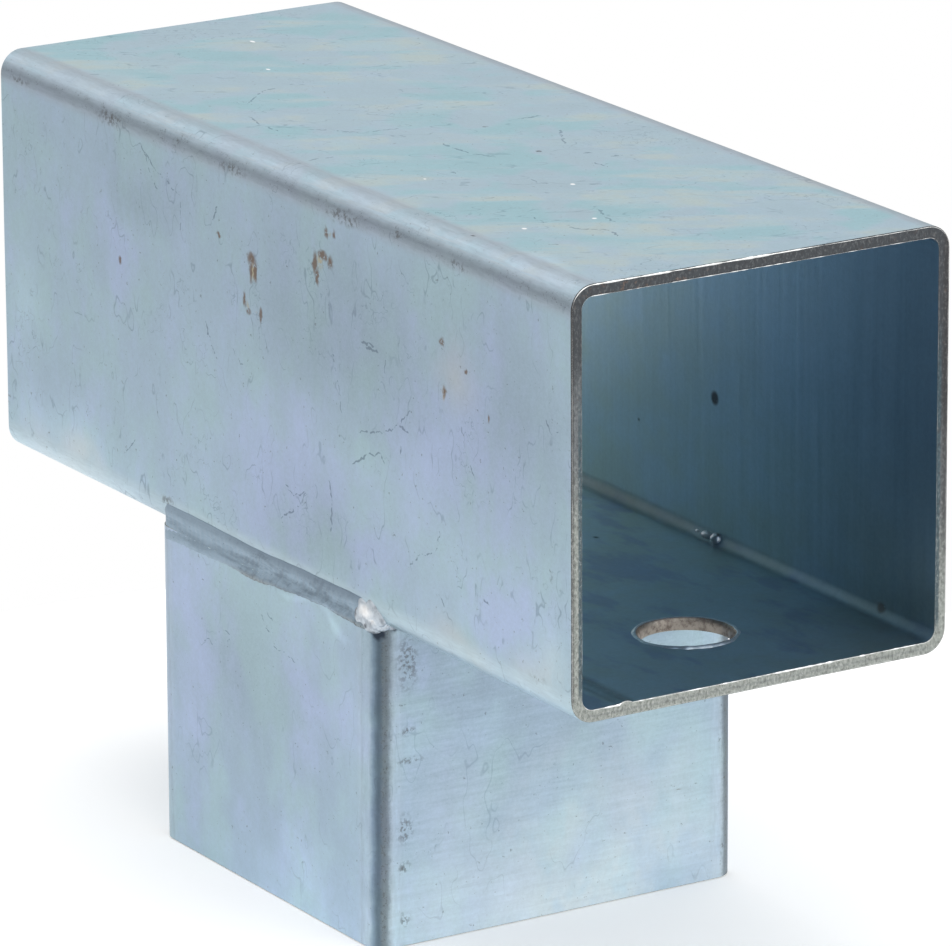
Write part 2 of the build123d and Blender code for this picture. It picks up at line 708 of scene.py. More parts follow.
    def _painted_corner_reflections(self, graph: Graph, colour: Wire, points: Wire, grain: Wire) -> Wire:
        """Lays the painted reflections along the rolled corners, as light and dark lines in the colour.

        Args:
            graph: The material's graph.
            colour: The colour so far.
            points: The points, in millimetres.
            grain: Fine noise.

        Returns:
            The colour with its corners.
        """
        uneven = graph.noise(points, 0.30, 3.0, 0.75)
        wander = (uneven - 0.5) * 1.2 + (grain - 0.5) * 0.5
        if self.sort is Sort.CROSS:
            return self._cross_corner_reflections(graph, colour, points, grain, uneven, wander)
        return self._branch_corner_reflections(graph, colour, points, grain, wander)

    def _cross_corner_reflections(
        self, graph: Graph, colour: Wire, points: Wire, grain: Wire, uneven: Wire, wander: Wire
    ) -> Wire:
        """Lays the painted reflections along the cross tube's corners, which differ at the top, the back and
        below.

        Args:
            graph: The material's graph.
            colour: The colour so far.
            points: The points, in millimetres.
            grain: Fine noise.
            uneven: Coarse noise.
            wander: How far the lines stray, in millimetres.

        Returns:
            The colour with its corners.
        """
        x, y, z = graph.split(points)
        aside = (z - AXIS).size()
        # From -4 mm where a corner meets the top or bottom face to 4 mm where it meets the side face
        turn = y.size() - aside + wander
        upper = z.rise(AXIS - 1.0, AXIS + 1.0)
        tone = graph.profile(turn, -CORNER_REACH, CORNER_REACH, TOP_FRONT_TONE)
        behind = graph.profile(turn, -CORNER_REACH, CORNER_REACH, TOP_BACK_TONE)
        tone = behind + (tone - behind) * y.rise(0.5, -0.5)
        low = graph.profile(turn, -CORNER_REACH, CORNER_REACH, LOWER_TONE)
        low = 0.5 + (low - 0.5) * (x - BRANCH_CENTRE).size().rise(34.0, 46.0)
        tone = low + (tone - low) * upper
        corner = y.size().rise(29.0, 31.0) * aside.rise(29.0, 31.0)
        # The corners take the colours of their painted reflections: lip below, rolled above
        colour = graph.blend(corner * 0.6, colour, graph.blend(upper, self.lip, self.rolled))
        colour = self._toned(graph, colour, tone, corner, graph.stretch(points, (0.25, 1.6, 1.6)))
        dust = turn.rise(0.6, 2.0) * turn.rise(5.0, 3.4) * upper
        dust = dust * grain.rise(0.56, 0.66) * uneven.rise(0.50, 0.60)
        return graph.blend(dust * corner * 0.5, colour, self.dirt)

    def _branch_corner_reflections(
        self, graph: Graph, colour: Wire, points: Wire, grain: Wire, wander: Wire
    ) -> Wire:
        """Lays the painted dark reflection, a stripe, along the branch's corners.

        Args:
            graph: The material's graph.
            colour: The colour so far.
            points: The points, in millimetres.
            grain: Fine noise.
            wander: How far the lines stray, in millimetres.

        Returns:
            The colour with its corners.
        """
        x, y, z = graph.split(points)
        aside = (x - BRANCH_CENTRE).size()
        turn = aside - y.size() + wander + (22.0 - z) * 0.016 + 0.5
        tone = graph.profile(turn, -CORNER_REACH, CORNER_REACH, BRANCH_TONE)
        corner = aside.rise(29.0, 30.5) * y.size().rise(29.0, 30.5)
        colour = graph.blend(corner * 0.2, colour, self.rolled)
        colour = self._toned(graph, colour, tone, corner, graph.stretch(points, (1.6, 1.6, 0.25)))
        # Bluish tint in the core of the painted dark reflection
        slate = turn.rise(-1.6, -0.4) * turn.rise(1.8, 0.8) * corner
        colour = graph.blend(slate, colour, self.slate, "MULTIPLY")
        worn = turn.rise(1.2, 2.0) * turn.rise(4.6, 3.4) * corner * 0.3
        colour = graph.blend(worn, colour, self.worn, "MULTIPLY")
        dust = turn.rise(0.9, 1.5) * turn.rise(3.2, 2.4) * grain.rise(0.54, 0.62)
        return graph.blend(dust * corner * 0.5, colour, self.dirt)

    def _toned(self, graph: Graph, colour: Wire, tone: Wire, corner: Wire, along: Wire) -> Wire:
        """Multiplies the corners by their tone, the painted reflection, brushed along their length.

        Args:
            graph: The material's graph.
            colour: The colour so far.
            tone: The tone, of which 0.5 changes nothing.
            corner: Where the corners are.
            along: The points, drawn out along the corners.

        Returns:
            The toned colour.
        """
        brushed = graph.noise(along, 1.0, 2.0, 0.7)
        even = 0.5 + (tone - 0.5) * corner
        return graph.scaled(colour, (even * 2.0) * (1 + (brushed - 0.5) * corner * 0.34))


@dataclass(frozen=True)
class InnerSteel:
    """The same plating inside a tube, darker, partly as painted shade, with long faint streaks."""

    name: str
    base: Colour = paint(151, 178, 189)
    deep: Colour = paint(132, 164, 192)
    green: Colour = paint(153, 178, 180)
    violet: Colour = paint(118, 138, 176)
    speck: Colour = paint(50, 58, 60)
    metallic: float = 0.92
    roughness: float = 0.36
    spots: tuple[Mark, ...] = ()

    def material(self) -> bpy.types.Material:
        """Builds the material of a tube's inside.

        Returns:
            The material.
        """
        graph = Graph(self.name)
        points = graph.place()
        x, y, z = graph.split(points)
        drips = graph.noise(graph.stretch(points, (0.8, 0.5, 0.03)), 1.0, 3.0, 0.65)
        clouds = graph.noise(points, 0.06, 3.0, 0.65)
        colour = graph.blend(clouds.rise(0.40, 0.62), self.green, self.base)
        blue = (x + (clouds - 0.5) * 80.0).rise(-50.0, 60.0) * (0.3 + z.rise(58.0, 96.0) * 0.7)
        colour = graph.blend(blue, colour, self.deep)
        stain = graph.noise(graph.stretch(points, (0.05, 0.12, 0.12)), 1.0, 3.0, 0.7)
        colour = graph.blend(stain.rise(0.50, 0.64) * z.rise(60.0, 57.0) * 0.6, colour, self.violet)
        fine = graph.noise(points, 1.3, 3.0, 0.7)
        fold = (y.size() + (z - AXIS).size()).rise(63.6, 65.0) * z.rise(66.0, 62.0)
        seam = (y + 25.0).size().rise(2.6, 1.0) * z.rise(60.0, 58.0)
        shaded = fold * (0.62 - x.rise(0.0, 80.0) * 0.5)
        mouth = x.rise(40.0, 90.0) * y.rise(10.0, 34.0) * 0.30
        tone = (0.62 + drips * 0.34 + fine * 0.30 + clouds * 0.32) * (1 - shaded)
        tone = tone * (1 - seam * (0.22 + drips * 0.3)) * (1 - mouth)
        colour = graph.scaled(colour, tone)
        specks = fine.rise(0.70, 0.76)
        stains = marks_mask(graph, points, self.spots, 0.4) * fine.rise(0.30, 0.40)
        colour = graph.blend((specks * 0.4).larger(stains * 0.8), colour, self.speck)
        rough = self.roughness + (drips - 0.5) * 0.2 + stains * 0.3 + fold * 0.1
        return graph.finish(
            Base_Color=colour,
            Metallic=self.metallic - stains * 0.5,
            Roughness=rough,
            Normal=graph.bump(graph.noise(graph.stretch(points, (0.8, 0.5, 0.03)), 1.0, 0.0), 0.00004, 0.5),
        )


@dataclass(frozen=True)
class SawnSteel:
    """A sawn end: bare grey steel with slanting saw marks, dark towards its upper right."""

    name: str
    pale: Colour = paint(155, 160, 155)
    middle: Colour = paint(114, 119, 122)
    dark: Colour = paint(74, 78, 82)
    brown: Colour = paint(112, 96, 88)
    # edge darkens the saw marks, and is also the painted shade along the rim's outer edges
    edge: Colour = paint(62, 60, 60)
    shaded: Colour = paint(70, 90, 98)
    glint: Colour = (0.75, 0.75, 0.72)
    metallic: float = 0.7
    roughness: float = 0.44
    # Whether the rim has its stains, its darker upper part and its painted shade along the edges
    shaded_and_stained: bool = True

    def material(self) -> bpy.types.Material:
        """Builds the material of a sawn end.

        Returns:
            The material.
        """
        graph = Graph(self.name)
        points = graph.place()
        _, y, z = graph.split(points)
        slanted = graph.stretch(graph.warp(points, 0.4, 1.0), (0.0, 1.0, 0.62))
        cuts = graph.noise(slanted, 2.2, 3.0, 0.7)
        blotch = graph.noise(points, 0.8, 4.0, 0.75)
        colour: Wire | Colour = self.pale
        bright: Wire | float = 0.25
        if self.shaded_and_stained:
            upper = z + y * 0.25 + (blotch - 0.5) * 14.0
            colour = graph.blend(upper.rise(74.0, 92.0), self.pale, self.middle)
            colour = graph.blend(upper.rise(96.0, 106.0), colour, self.dark)
            # Painted shade along the outer edge on the rim's +Y side
            colour = graph.blend(y.rise(33.4, 34.4) * z.rise(60.0, 80.0) * 0.6, colour, self.edge)
            inner = (y.size() + (blotch - 0.5) * 0.5).rise(33.85, 33.5)
            inner = inner * z.rise(58.0, 61.0) * z.rise(112.0, 98.0)
            colour = graph.blend(inner * 0.85, colour, self.shaded)
            bright = 0.25 - upper.rise(74.0, 96.0) * 0.17
            rusty = blotch.rise(0.56, 0.64) * y.rise(-4.0, -16.0) * z.rise(122.0, 123.4)
            colour = graph.blend((rusty * 0.8).larger(blotch.rise(0.60, 0.70) * 0.3), colour, self.brown)
            # Painted shade along the outer edge on the rim's -Y side
            outer = (y + blotch * 0.7).rise(-33.9, -34.4) * z.rise(57.0, 60.0)
            colour = graph.blend(outer * 0.65, colour, self.edge)
            groove = (z - 56.0 - (blotch - 0.5) * 0.5).size().rise(0.32, 0.05) * y.size().rise(33.0, 31.0)
            colour = graph.blend(groove * 0.35, colour, self.middle)
        colour = graph.blend(cuts.rise(0.50, 0.64) * 0.40, colour, self.edge)
        colour = graph.blend(cuts.rise(0.48, 0.36) * bright, colour, self.glint)
        return graph.finish(
            Base_Color=colour,
            Metallic=self.metallic,
            Roughness=self.roughness + cuts * 0.2,
            Normal=graph.bump(cuts + blotch * 0.5, 0.0001, 0.5),
        )


@dataclass(frozen=True)
class BrightEdge:
    """Bare steel that catches the light: a burr, a lip, a drop of weld metal or a drilled wall."""

    name: str
    base: Colour = paint(244, 245, 244)
    stain: Colour = paint(120, 108, 98)
    stained: float = 0.3
    grain: float = 0.9
    roughness: float = 0.28
    metallic: float = 0.9
    shadow_and_soot_tone: Colour = paint(66, 72, 82)
    glint: Colour = (0.97, 0.97, 0.97)
    shadows_and_soot: tuple[Mark, ...] = ()
    lit: tuple[Mark, ...] = ()

    def material(self) -> bpy.types.Material:
        """Builds the material of a bright edge.

        Returns:
            The material.
        """
        graph = Graph(self.name)
        points = graph.place()
        blotch = graph.noise(points, self.grain, 3.0, 0.7)
        stains = blotch.rise(0.42, 0.68) * self.stained
        ragged = graph.warp(points, 1.2, 0.7)
        lit = marks_mask(graph, ragged, self.lit, 0.1)
        stains = stains * (1 - lit)
        colour = graph.blend(stains, graph.blend(lit, self.base, self.glint), self.stain)
        # Painted shadow in the gaps round the weld drop, and soot
        colour = graph.blend(marks_mask(graph, ragged, self.shadows_and_soot, 0.2) * 0.85, colour, self.shadow_and_soot_tone)
        return graph.finish(
            Base_Color=colour,
            Metallic=self.metallic - stains * 0.4,
            Roughness=self.roughness + stains * 0.3,
            Normal=graph.bump(blotch, 0.0001, 0.5),
        )


@dataclass(frozen=True)
class WeldMetal:
    """Plated weld bead: a little duller and greyer than the tube, brushed across, pitted low down."""

    name: str = "weld_metal"
    base: Colour = paint(151, 171, 187)
    dull: Colour = paint(120, 137, 151)
    pit: Colour = paint(74, 76, 78)
    toe: Colour = paint(138, 142, 138)
    slate: Colour = paint(98, 114, 130)
    metallic: float = 0.88
    roughness: float = 0.36
    hatch_angle: float = 48.0

    def material(self, low: float) -> bpy.types.Material:
        """Builds the material of a weld bead.

        Args:
            low: The height of the bead's lower edge, in millimetres.

        Returns:
            The material.
        """
        graph = Graph(self.name)
        points = graph.place()
        x, _, z = graph.split(points)
        turned = graph.node(
            "ShaderNodeVectorRotate",
            {"rotation_type": "Y_AXIS"},
            {"Vector": graph.warp(points, 0.5, 1.4), "Angle": math.radians(self.hatch_angle)},
        )
        hatch = graph.noise(graph.stretch(Wire(graph, turned.outputs[0]), (0.16, 0.5, 0.75)), 1.0, 3.0, 0.65)
        smear = graph.noise(graph.stretch(points, (0.10, 0.4, 0.55)), 1.0, 4.0, 0.65)
        fine = graph.noise(points, 1.6, 3.0, 0.75)
        right = x.rise(-22.0, -6.0)
        dark = smear.rise(0.42, 0.64) * (0.5 + right * 0.4) + hatch.rise(0.48, 0.66) * right * 0.45
        # Darker towards the bead's top edge
        upper = (z + (smear - 0.5) * 4.0).rise(low + 3.0, low + 4.6) * (0.35 + right * 0.25)
        colour = graph.blend(dark.larger(upper).smaller(1.0), self.base, self.dull)
        colour = graph.scaled(colour, 0.90 + fine * 0.20)
        toe = (z - x * 0.03 + fine * 1.6).rise(low + 2.2, low + 0.9) * right
        colour = graph.blend(toe * 0.65, colour, self.toe)
        crest = (z + (hatch - 0.5) * 2.4).rise(low + 4.2, low + 5.6) * (0.2 + right * 0.20)
        colour = graph.blend(crest, colour, self.slate)
        pits = fine.rise(0.52, 0.60) * (toe * 0.95).larger(fine.rise(0.62, 0.70) * 0.5)
        colour = graph.blend(pits, colour, self.pit)
        return graph.finish(
            Base_Color=colour,
            Metallic=self.metallic - toe * 0.3,
            Roughness=self.roughness + smear * 0.14,
            Normal=graph.bump(hatch * 0.6 + fine * 0.2, 0.0001, 0.5),
        )


@dataclass
class MeshDraft:
    """Vertices and faces gathered from grids and made into one object."""

    points: list[np.ndarray] = field(default_factory=list)
    faces: list[np.ndarray] = field(default_factory=list)
    slots: list[np.ndarray] = field(default_factory=list)
    count: int = 0

    def grid(self, points: np.ndarray, close_rows: bool, close_columns: bool, slots: np.ndarray) -> None:
        """Adds a grid of points, joined into four-sided faces.

        Args:
            points: Rows by columns by three.
            close_rows: Whether the last row joins the first.
            close_columns: Whether the last column joins the first.
            slots: The material number of the faces that start at each row.
        """
        rows, columns = points.shape[:2]
        row = np.arange(rows if close_rows else rows - 1)
        column = np.arange(columns if close_columns else columns - 1)
        r0, c0 = np.meshgrid(row, column, indexing="ij")
        r1, c1 = (r0 + 1) % rows, (c0 + 1) % columns
        quads = np.stack([r0 * columns + c0, r1 * columns + c0, r1 * columns + c1, r0 * columns + c1], -1)
        self.points.append(points.reshape(-1, 3))
        self.faces.append(quads.reshape(-1, 4) + self.count)
        self.slots.append(np.repeat(slots[row], len(column)))
        self.count += rows * columns

    def make(self, name: str, materials: Sequence[bpy.types.Material], sharp: float) -> bpy.types.Object:
        """Makes the object.

        Args:
            name: The object's name.
            materials: Its materials, in the order of the slots.
            sharp: The angle in degrees above which an edge is sharp.

        Returns:
            The object, in the scene.
        """
        mesh = bpy.data.meshes.new(name)
        mesh.from_pydata(np.concatenate(self.points).tolist(), [], np.concatenate(self.faces).tolist())
        for material in materials:
            mesh.materials.append(material)
        mesh.polygons.foreach_set("material_index", np.concatenate(self.slots).astype(np.int32))
        tidy = bmesh.new()
        tidy.from_mesh(mesh)
        bmesh.ops.remove_doubles(tidy, verts=tidy.verts, dist=1e-7)
        bmesh.ops.recalc_face_normals(tidy, faces=tidy.faces)
        tidy.to_mesh(mesh)
        tidy.free()
        mesh.shade_smooth()
        mesh.set_sharp_from_angle(angle=math.radians(sharp))
        made = bpy.data.objects.new(name, mesh)
        bpy.context.scene.collection.objects.link(made)
        return made


def swell(points: np.ndarray, wave: float, seed: int, layers: int = 5) -> np.ndarray:
    """Gives smooth waves over points, as a sum of tilted sines.

    Args:
        points: The points, in metres.
        wave: The mean wavelength, in metres.
        seed: The seed of the directions and phases.
        layers: How many sines are added.

    Returns:
        A value from about -1 to 1 for each point.
    """
    draw = np.random.default_rng(seed)
    total = np.zeros(points.shape[:-1])
    for _ in range(layers):
        way = draw.normal(size=3)
        way *= 2 * math.pi / (wave * draw.uniform(0.6, 1.7) * np.linalg.norm(way))
        total += np.sin(points @ way + draw.uniform(0, 2 * math.pi))
    return total / math.sqrt(layers) / 1.6


@dataclass(frozen=True)
class TubeStock:
    """Square tube stock: its sizes, in metres, and its section as base points with normals."""

    width: float = 70 * MM
    wall: float = 2 * MM
    corner: float = 4 * MM
    seam_from_side: float = 10 * MM
    seam_width: float = 2.4 * MM
    seam_height: float = 0.35 * MM
    step: float = 1.7 * MM
    corner_steps: int = 10

    @property
    def flat(self) -> float:
        """Half the flat part of a side."""
        return self.width / 2 - self.corner

    def section(self) -> tuple[np.ndarray, np.ndarray, np.ndarray]:
        """Lays out the points round the section, from the right side over the top.

        Returns:
            The base points on the square through the corner centres, the outward normals, and how far
            the seam's ridge stands in from the inner face at each point.
        """
        bases: list[tuple[float, float]] = []
        normals: list[tuple[float, float]] = []
        ridges: list[float] = []
        seam = -(self.width / 2 - self.seam_from_side)
        plain = np.linspace(-self.flat, self.flat, int(2 * self.flat / self.step) + 1)
        close = np.linspace(seam - self.seam_width * 0.7, seam + self.seam_width * 0.7, 15)
        for side in range(4):
            turn = side * math.pi / 2
            out = (math.cos(turn), math.sin(turn))
            run = (-out[1], out[0])
            seamed = side == 3
            steps = plain
            if seamed:
                far = plain[np.abs(plain - seam) > self.seam_width]
                steps = np.sort(np.concatenate([far, close]))
            for t in steps:
                bases.append((self.flat * out[0] + t * run[0], self.flat * out[1] + t * run[1]))
                normals.append(out)
                off = abs(t - seam) / (self.seam_width / 2)
                on_seam = seamed and off < 1
                ridges.append(self.seam_height * math.cos(off * math.pi / 2) ** 0.8 if on_seam else 0.0)
            for k in range(1, self.corner_steps):
                angle = turn + k / self.corner_steps * math.pi / 2
                bases.append((self.flat * (out[0] + run[0]), self.flat * (out[1] + run[1])))
                normals.append((math.cos(angle), math.sin(angle)))
                ridges.append(0.0)
        return np.array(bases), np.array(normals), np.array(ridges)


# Numbers of a tube's materials
OUTSIDE, INSIDE, RIM = 0, 1, 2


@dataclass
class TubeLength:
    """A sawn length of tube: swept from its section, closed round both rims, and very slightly wavy."""

    stock: TubeStock
    name: str
    start: float
    end: float
    seed: int
    start_inset: float = 0.24 * MM
    end_inset: float = 0.24 * MM
    station: float = 2.2 * MM
    bevel: float = 0.12 * MM
    wave_depth: float = 0.07 * MM
    saw_depth: float = 0.07 * MM

    def to_frame(self, along: np.ndarray, across: np.ndarray, up: np.ndarray) -> np.ndarray:
        """Places section coordinates in the part's frame; each kind of tube says how."""
        raise NotImplementedError

    def stations(self) -> list[tuple[float, float, int]]:
        """Lists the rows of the sweep: out along the outside, over the rim and back inside.

        Returns:
            For each row its place along the tube, its place in the wall from 0 inside to 1 outside, and
            the material number of the faces that start there.
        """
        low, high = self.start + self.start_inset, self.end - self.end_inset
        near = np.array([0.0, 0.3, 0.8, 1.5]) * MM
        count = int((high - low) / self.station)
        middle = np.linspace(low + self.bevel + 2.6 * MM, high - self.bevel - 2.6 * MM, count)
        places = np.concatenate([low + self.bevel + near, middle, (high - self.bevel - near)[::-1]])
        across = [0.94, 0.84, 0.68, 0.52, 0.36, 0.20, 0.10]
        rows = [(p, 1.0, OUTSIDE) for p in places[:-1]] + [(places[-1], 1.0, RIM)]
        rows += [(high, w, RIM) for w in across]
        rows += [(p, 0.0, INSIDE) for p in places[::-1][:-1]] + [(places[0], 0.0, RIM)]
        rows += [(low, w, RIM) for w in across[::-1]]
        return rows

    def build(self, materials: Sequence[bpy.types.Material]) -> bpy.types.Object:
        """Builds the tube's mesh and puts it in place of its solid.

        Args:
            materials: The outside, the inside and the sawn rim.

        Returns:
            The tube.
        """
        bases, normals, ridges = self.stock.section()
        rows = self.stations()
        along = np.array([r[0] for r in rows])[:, None]
        share = np.array([r[1] for r in rows])[:, None]
        slots = np.array([r[2] for r in rows])
        inner = self.stock.corner - self.stock.wall
        radius = inner + self.stock.wall * share - ridges[None, :] * (1 - share) ** 3
        points = self._sweep(along, radius, bases, normals)
        radius = radius - self.wave_depth * (0.5 + 0.5 * swell(points, 34 * MM, self.seed))
        rim = ((slots == RIM) & (share[:, 0] < 0.99))[:, None]
        outward = np.where(along > (self.start + self.end) / 2, 1.0, -1.0)
        bite = 0.5 + 0.5 * swell(points * np.array([1.0, 1.0, 0.5]), 1.7 * MM, self.seed + 1, 7)
        sag = 0.5 + 0.5 * swell(points, 12 * MM, self.seed + 2)
        along = along - outward * rim * self.saw_depth * (0.6 * bite + 0.4 * sag)
        points = self._sweep(along, radius, bases, normals)
        draft = MeshDraft()
        draft.grid(points, True, True, slots)
        return draft.make(self.name, materials, 38.0)

    def _sweep(
        self, along: np.ndarray, radius: np.ndarray, bases: np.ndarray, normals: np.ndarray
    ) -> np.ndarray:
        """Places every row of the sweep in the part's frame."""
        across = bases[None, :, 0] + normals[None, :, 0] * radius
        up = bases[None, :, 1] + normals[None, :, 1] * radius
        return self.to_frame(np.broadcast_to(along, across.shape), across, up)

    def edge_loop(self, at_end: bool, share: float) -> tuple[np.ndarray, np.ndarray]:
        """Gives a line round the rim, for burrs.

        Args:
            at_end: Whether it is the rim at the end of the tube, or at its start.
            share: The place in the wall, from 0 inside to 1 outside.

        Returns:
            The points and the outward normals in the section.
        """
        bases, normals, ridges = self.stock.section()
        inner = self.stock.corner - self.stock.wall
        radius = inner + self.stock.wall * share - ridges * (1 - share) ** 3
        place = self.end - self.end_inset if at_end else self.start + self.start_inset
        along = np.full((1, 1), place)
        return self._sweep(along, radius[None, :], bases, normals)[0], normals


@dataclass
class CrossTube(TubeLength):
    """The cross tube, which lies along X, with a bolt hole under each socket."""

    axis_height: float = 90 * MM
    holes: tuple[tuple[float, float], ...] = ()
    hole_radius: float = 8.35 * MM

    def to_frame(self, along: np.ndarray, across: np.ndarray, up: np.ndarray) -> np.ndarray:
        """Lays the section in the plane across X."""
        return np.stack([along, across, up + self.axis_height], -1)

    def part_faces(self, tube: bpy.types.Object, top: int, front: int) -> None:
        """Gives the top and the front of the outside their own materials.

        Args:
            tube: The tube's object.
            top: The number of the top's material.
            front: The number of the front's material, which takes in both rolled corners.
        """
        for face in tube.data.polygons:
            if face.material_index != OUTSIDE:
                continue
            if face.normal.y < -0.2:
                face.material_index = front
            elif face.normal.z > 0.9:
                face.material_index = top

    def drill(self, tube: bpy.types.Object) -> None:
        """Cuts the bolt holes through the bottom wall.

        Args:
            tube: The tube's object.
        """
        floor = self.axis_height - self.stock.width / 2
        cutter = bmesh.new()
        for x, y in self.holes:
            place = Matrix.Translation((x, y, floor + self.stock.wall / 2))
            bmesh.ops.create_cone(
                cutter,
                cap_ends=True,
                segments=96,
                radius1=self.hole_radius,
                radius2=self.hole_radius,
                depth=3 * self.stock.wall,
                matrix=place,
            )
        mesh = bpy.data.meshes.new("drill")
        cutter.to_mesh(mesh)
        cutter.free()
        drill = bpy.data.objects.new("drill", mesh)
        bpy.context.scene.collection.objects.link(drill)
        cut = tube.modifiers.new("holes", "BOOLEAN")
        cut.operation = "DIFFERENCE"
        cut.solver = "EXACT"
        cut.object = drill
        bake_modifiers(tube)
        bpy.data.objects.remove(drill)


@dataclass
class BranchTube(TubeLength):
    """The branch, which stands along Z under the cross tube."""

    centre: float = -4 * MM

    def to_frame(self, along: np.ndarray, across: np.ndarray, up: np.ndarray) -> np.ndarray:
        """Lays the section flat, with its seamed side towards -X."""
        return np.stack([up + self.centre, -across, along], -1)


def bake_modifiers(thing: bpy.types.Object) -> None:
    """Turns an object's modifiers into its mesh.

    Args:
        thing: The object.
    """
    graph = bpy.context.evaluated_depsgraph_get()
    mesh = bpy.data.meshes.new_from_object(thing.evaluated_get(graph))
    old = thing.data
    thing.modifiers.clear()
    thing.data = mesh
    bpy.data.meshes.remove(old)


@dataclass
class EdgeBurr:
    """A thin ragged burr along an edge of a sawn rim."""

    name: str
    depth: float = 0.16 * MM
    grain: float = 4.0 * MM
    gaps: float = 0.0
    seed: int = 1
    fine: int = 4
    sides: int = 6

    def build(
        self,
        loop: np.ndarray,
        outward: np.ndarray,
        along: np.ndarray,
        weight: np.ndarray,
        material: bpy.types.Material,
    ) -> bpy.types.Object:
        """Sweeps the burr's small section round the edge.

        Args:
            loop: The points of the edge.
            outward: The direction out of the wall at each point.
            along: The tube's own direction, out of its mouth.
            weight: How strong the burr is at each point, from 0 to 1.
            material: Its material.

        Returns:
            The burr.
        """
        count = len(loop)
        index = np.arange(count * self.fine) / self.fine
        low = index.astype(int)
        mix = (index - low)[:, None]
        high = (low + 1) % count
        centre = loop[low] * (1 - mix) + loop[high] * mix
        out = outward[low] * (1 - mix) + outward[high] * mix
        strength = weight[low] * (1 - mix[:, 0]) + weight[high] * mix[:, 0]
        ragged = 0.55 - self.gaps + 0.45 * swell(centre, self.grain, self.seed, 6)
        ragged += 0.25 * swell(centre, 1.1 * MM, self.seed + 1, 6)
        radius = self.depth * np.clip(ragged, 0.08, 1.2) * (0.06 + 0.94 * strength)
        rows = []
        for k in range(self.sides):
            angle = 2 * math.pi * k / self.sides + 0.4
            side = out * math.cos(angle)
            rise = along[None, :] * math.sin(angle) * 0.8
            rows.append(centre + (side + rise) * radius[:, None])
        draft = MeshDraft()
        draft.grid(np.array(rows), True, True, np.zeros(self.sides, int))
        return draft.make(self.name, [material], 60.0)


@dataclass
class HoleRim:
    """The cut wall of a bolt hole, with the lip that the drill has turned up inside the tube."""

    name: str
    centre: Place
    seed: int
    radius: float = 7.6 * MM
    high_side: float = -0.2
    around: int = 180

    def build(self, cut: bpy.types.Material, bright: bpy.types.Material) -> bpy.types.Object:
        """Builds the ring that lines the hole.

        Args:
            cut: The material of the cut wall.
            bright: The material of the lip.

        Returns:
            The ring.
        """
        # Outline of the ring's section: place out from the hole's wall, height, share of the lip's rise, slot
        outline = [
            (0.50, -0.05, 0.0, 1), (0.14, -0.10, 0.0, 1), (-0.02, -0.03, 0.0, 0), (0.0, 0.35, 0.0, 0),
            (0.02, 0.8, 0.0, 0), (0.03, 1.2, 0.0, 0), (0.08, 1.55, 0.0, 0), (0.20, 1.83, 0.1, 0),
            (0.38, 2.00, 0.6, 1), (0.52, 2.05, 1.0, 1), (0.70, 2.04, 0.9, 1), (0.90, 2.01, 0.5, 1),
            (1.08, 1.99, 0.15, 1), (1.20, 1.90, 0.0, 1), (1.20, 0.6, 0.0, 1),
        ]
        angle = np.linspace(0, 2 * math.pi, self.around, endpoint=False)
        rim = np.stack([np.cos(angle), np.sin(angle), np.zeros(self.around)], -1) * self.radius
        ragged = swell(rim, 6 * MM, self.seed) * 0.5 + 0.5 * swell(rim, 2 * MM, self.seed + 5)
        high = np.clip(np.cos(angle - self.high_side), 0, 1) ** 2
        chip = np.exp(-((np.angle(np.exp(1j * (angle + 2.35)))) / 0.22) ** 2)
        rise = (0.03 + 0.38 * high + 0.30 * chip) * np.clip(1 + 0.35 * ragged, 0.4, 1.5) * MM
        rows = []
        for out, height, share, _ in outline:
            wide = self.radius + out * MM * (1 + 0.25 * ragged) + 0.03 * MM * ragged
            lift = height * MM + share * rise
            rows.append(np.stack([np.cos(angle) * wide, np.sin(angle) * wide, lift], -1))
        points = np.array(rows) + np.array(self.centre)
        draft = MeshDraft()
        draft.grid(points, True, True, np.array([o[3] for o in outline]))
        return draft.make(self.name, [cut, bright], 50.0)


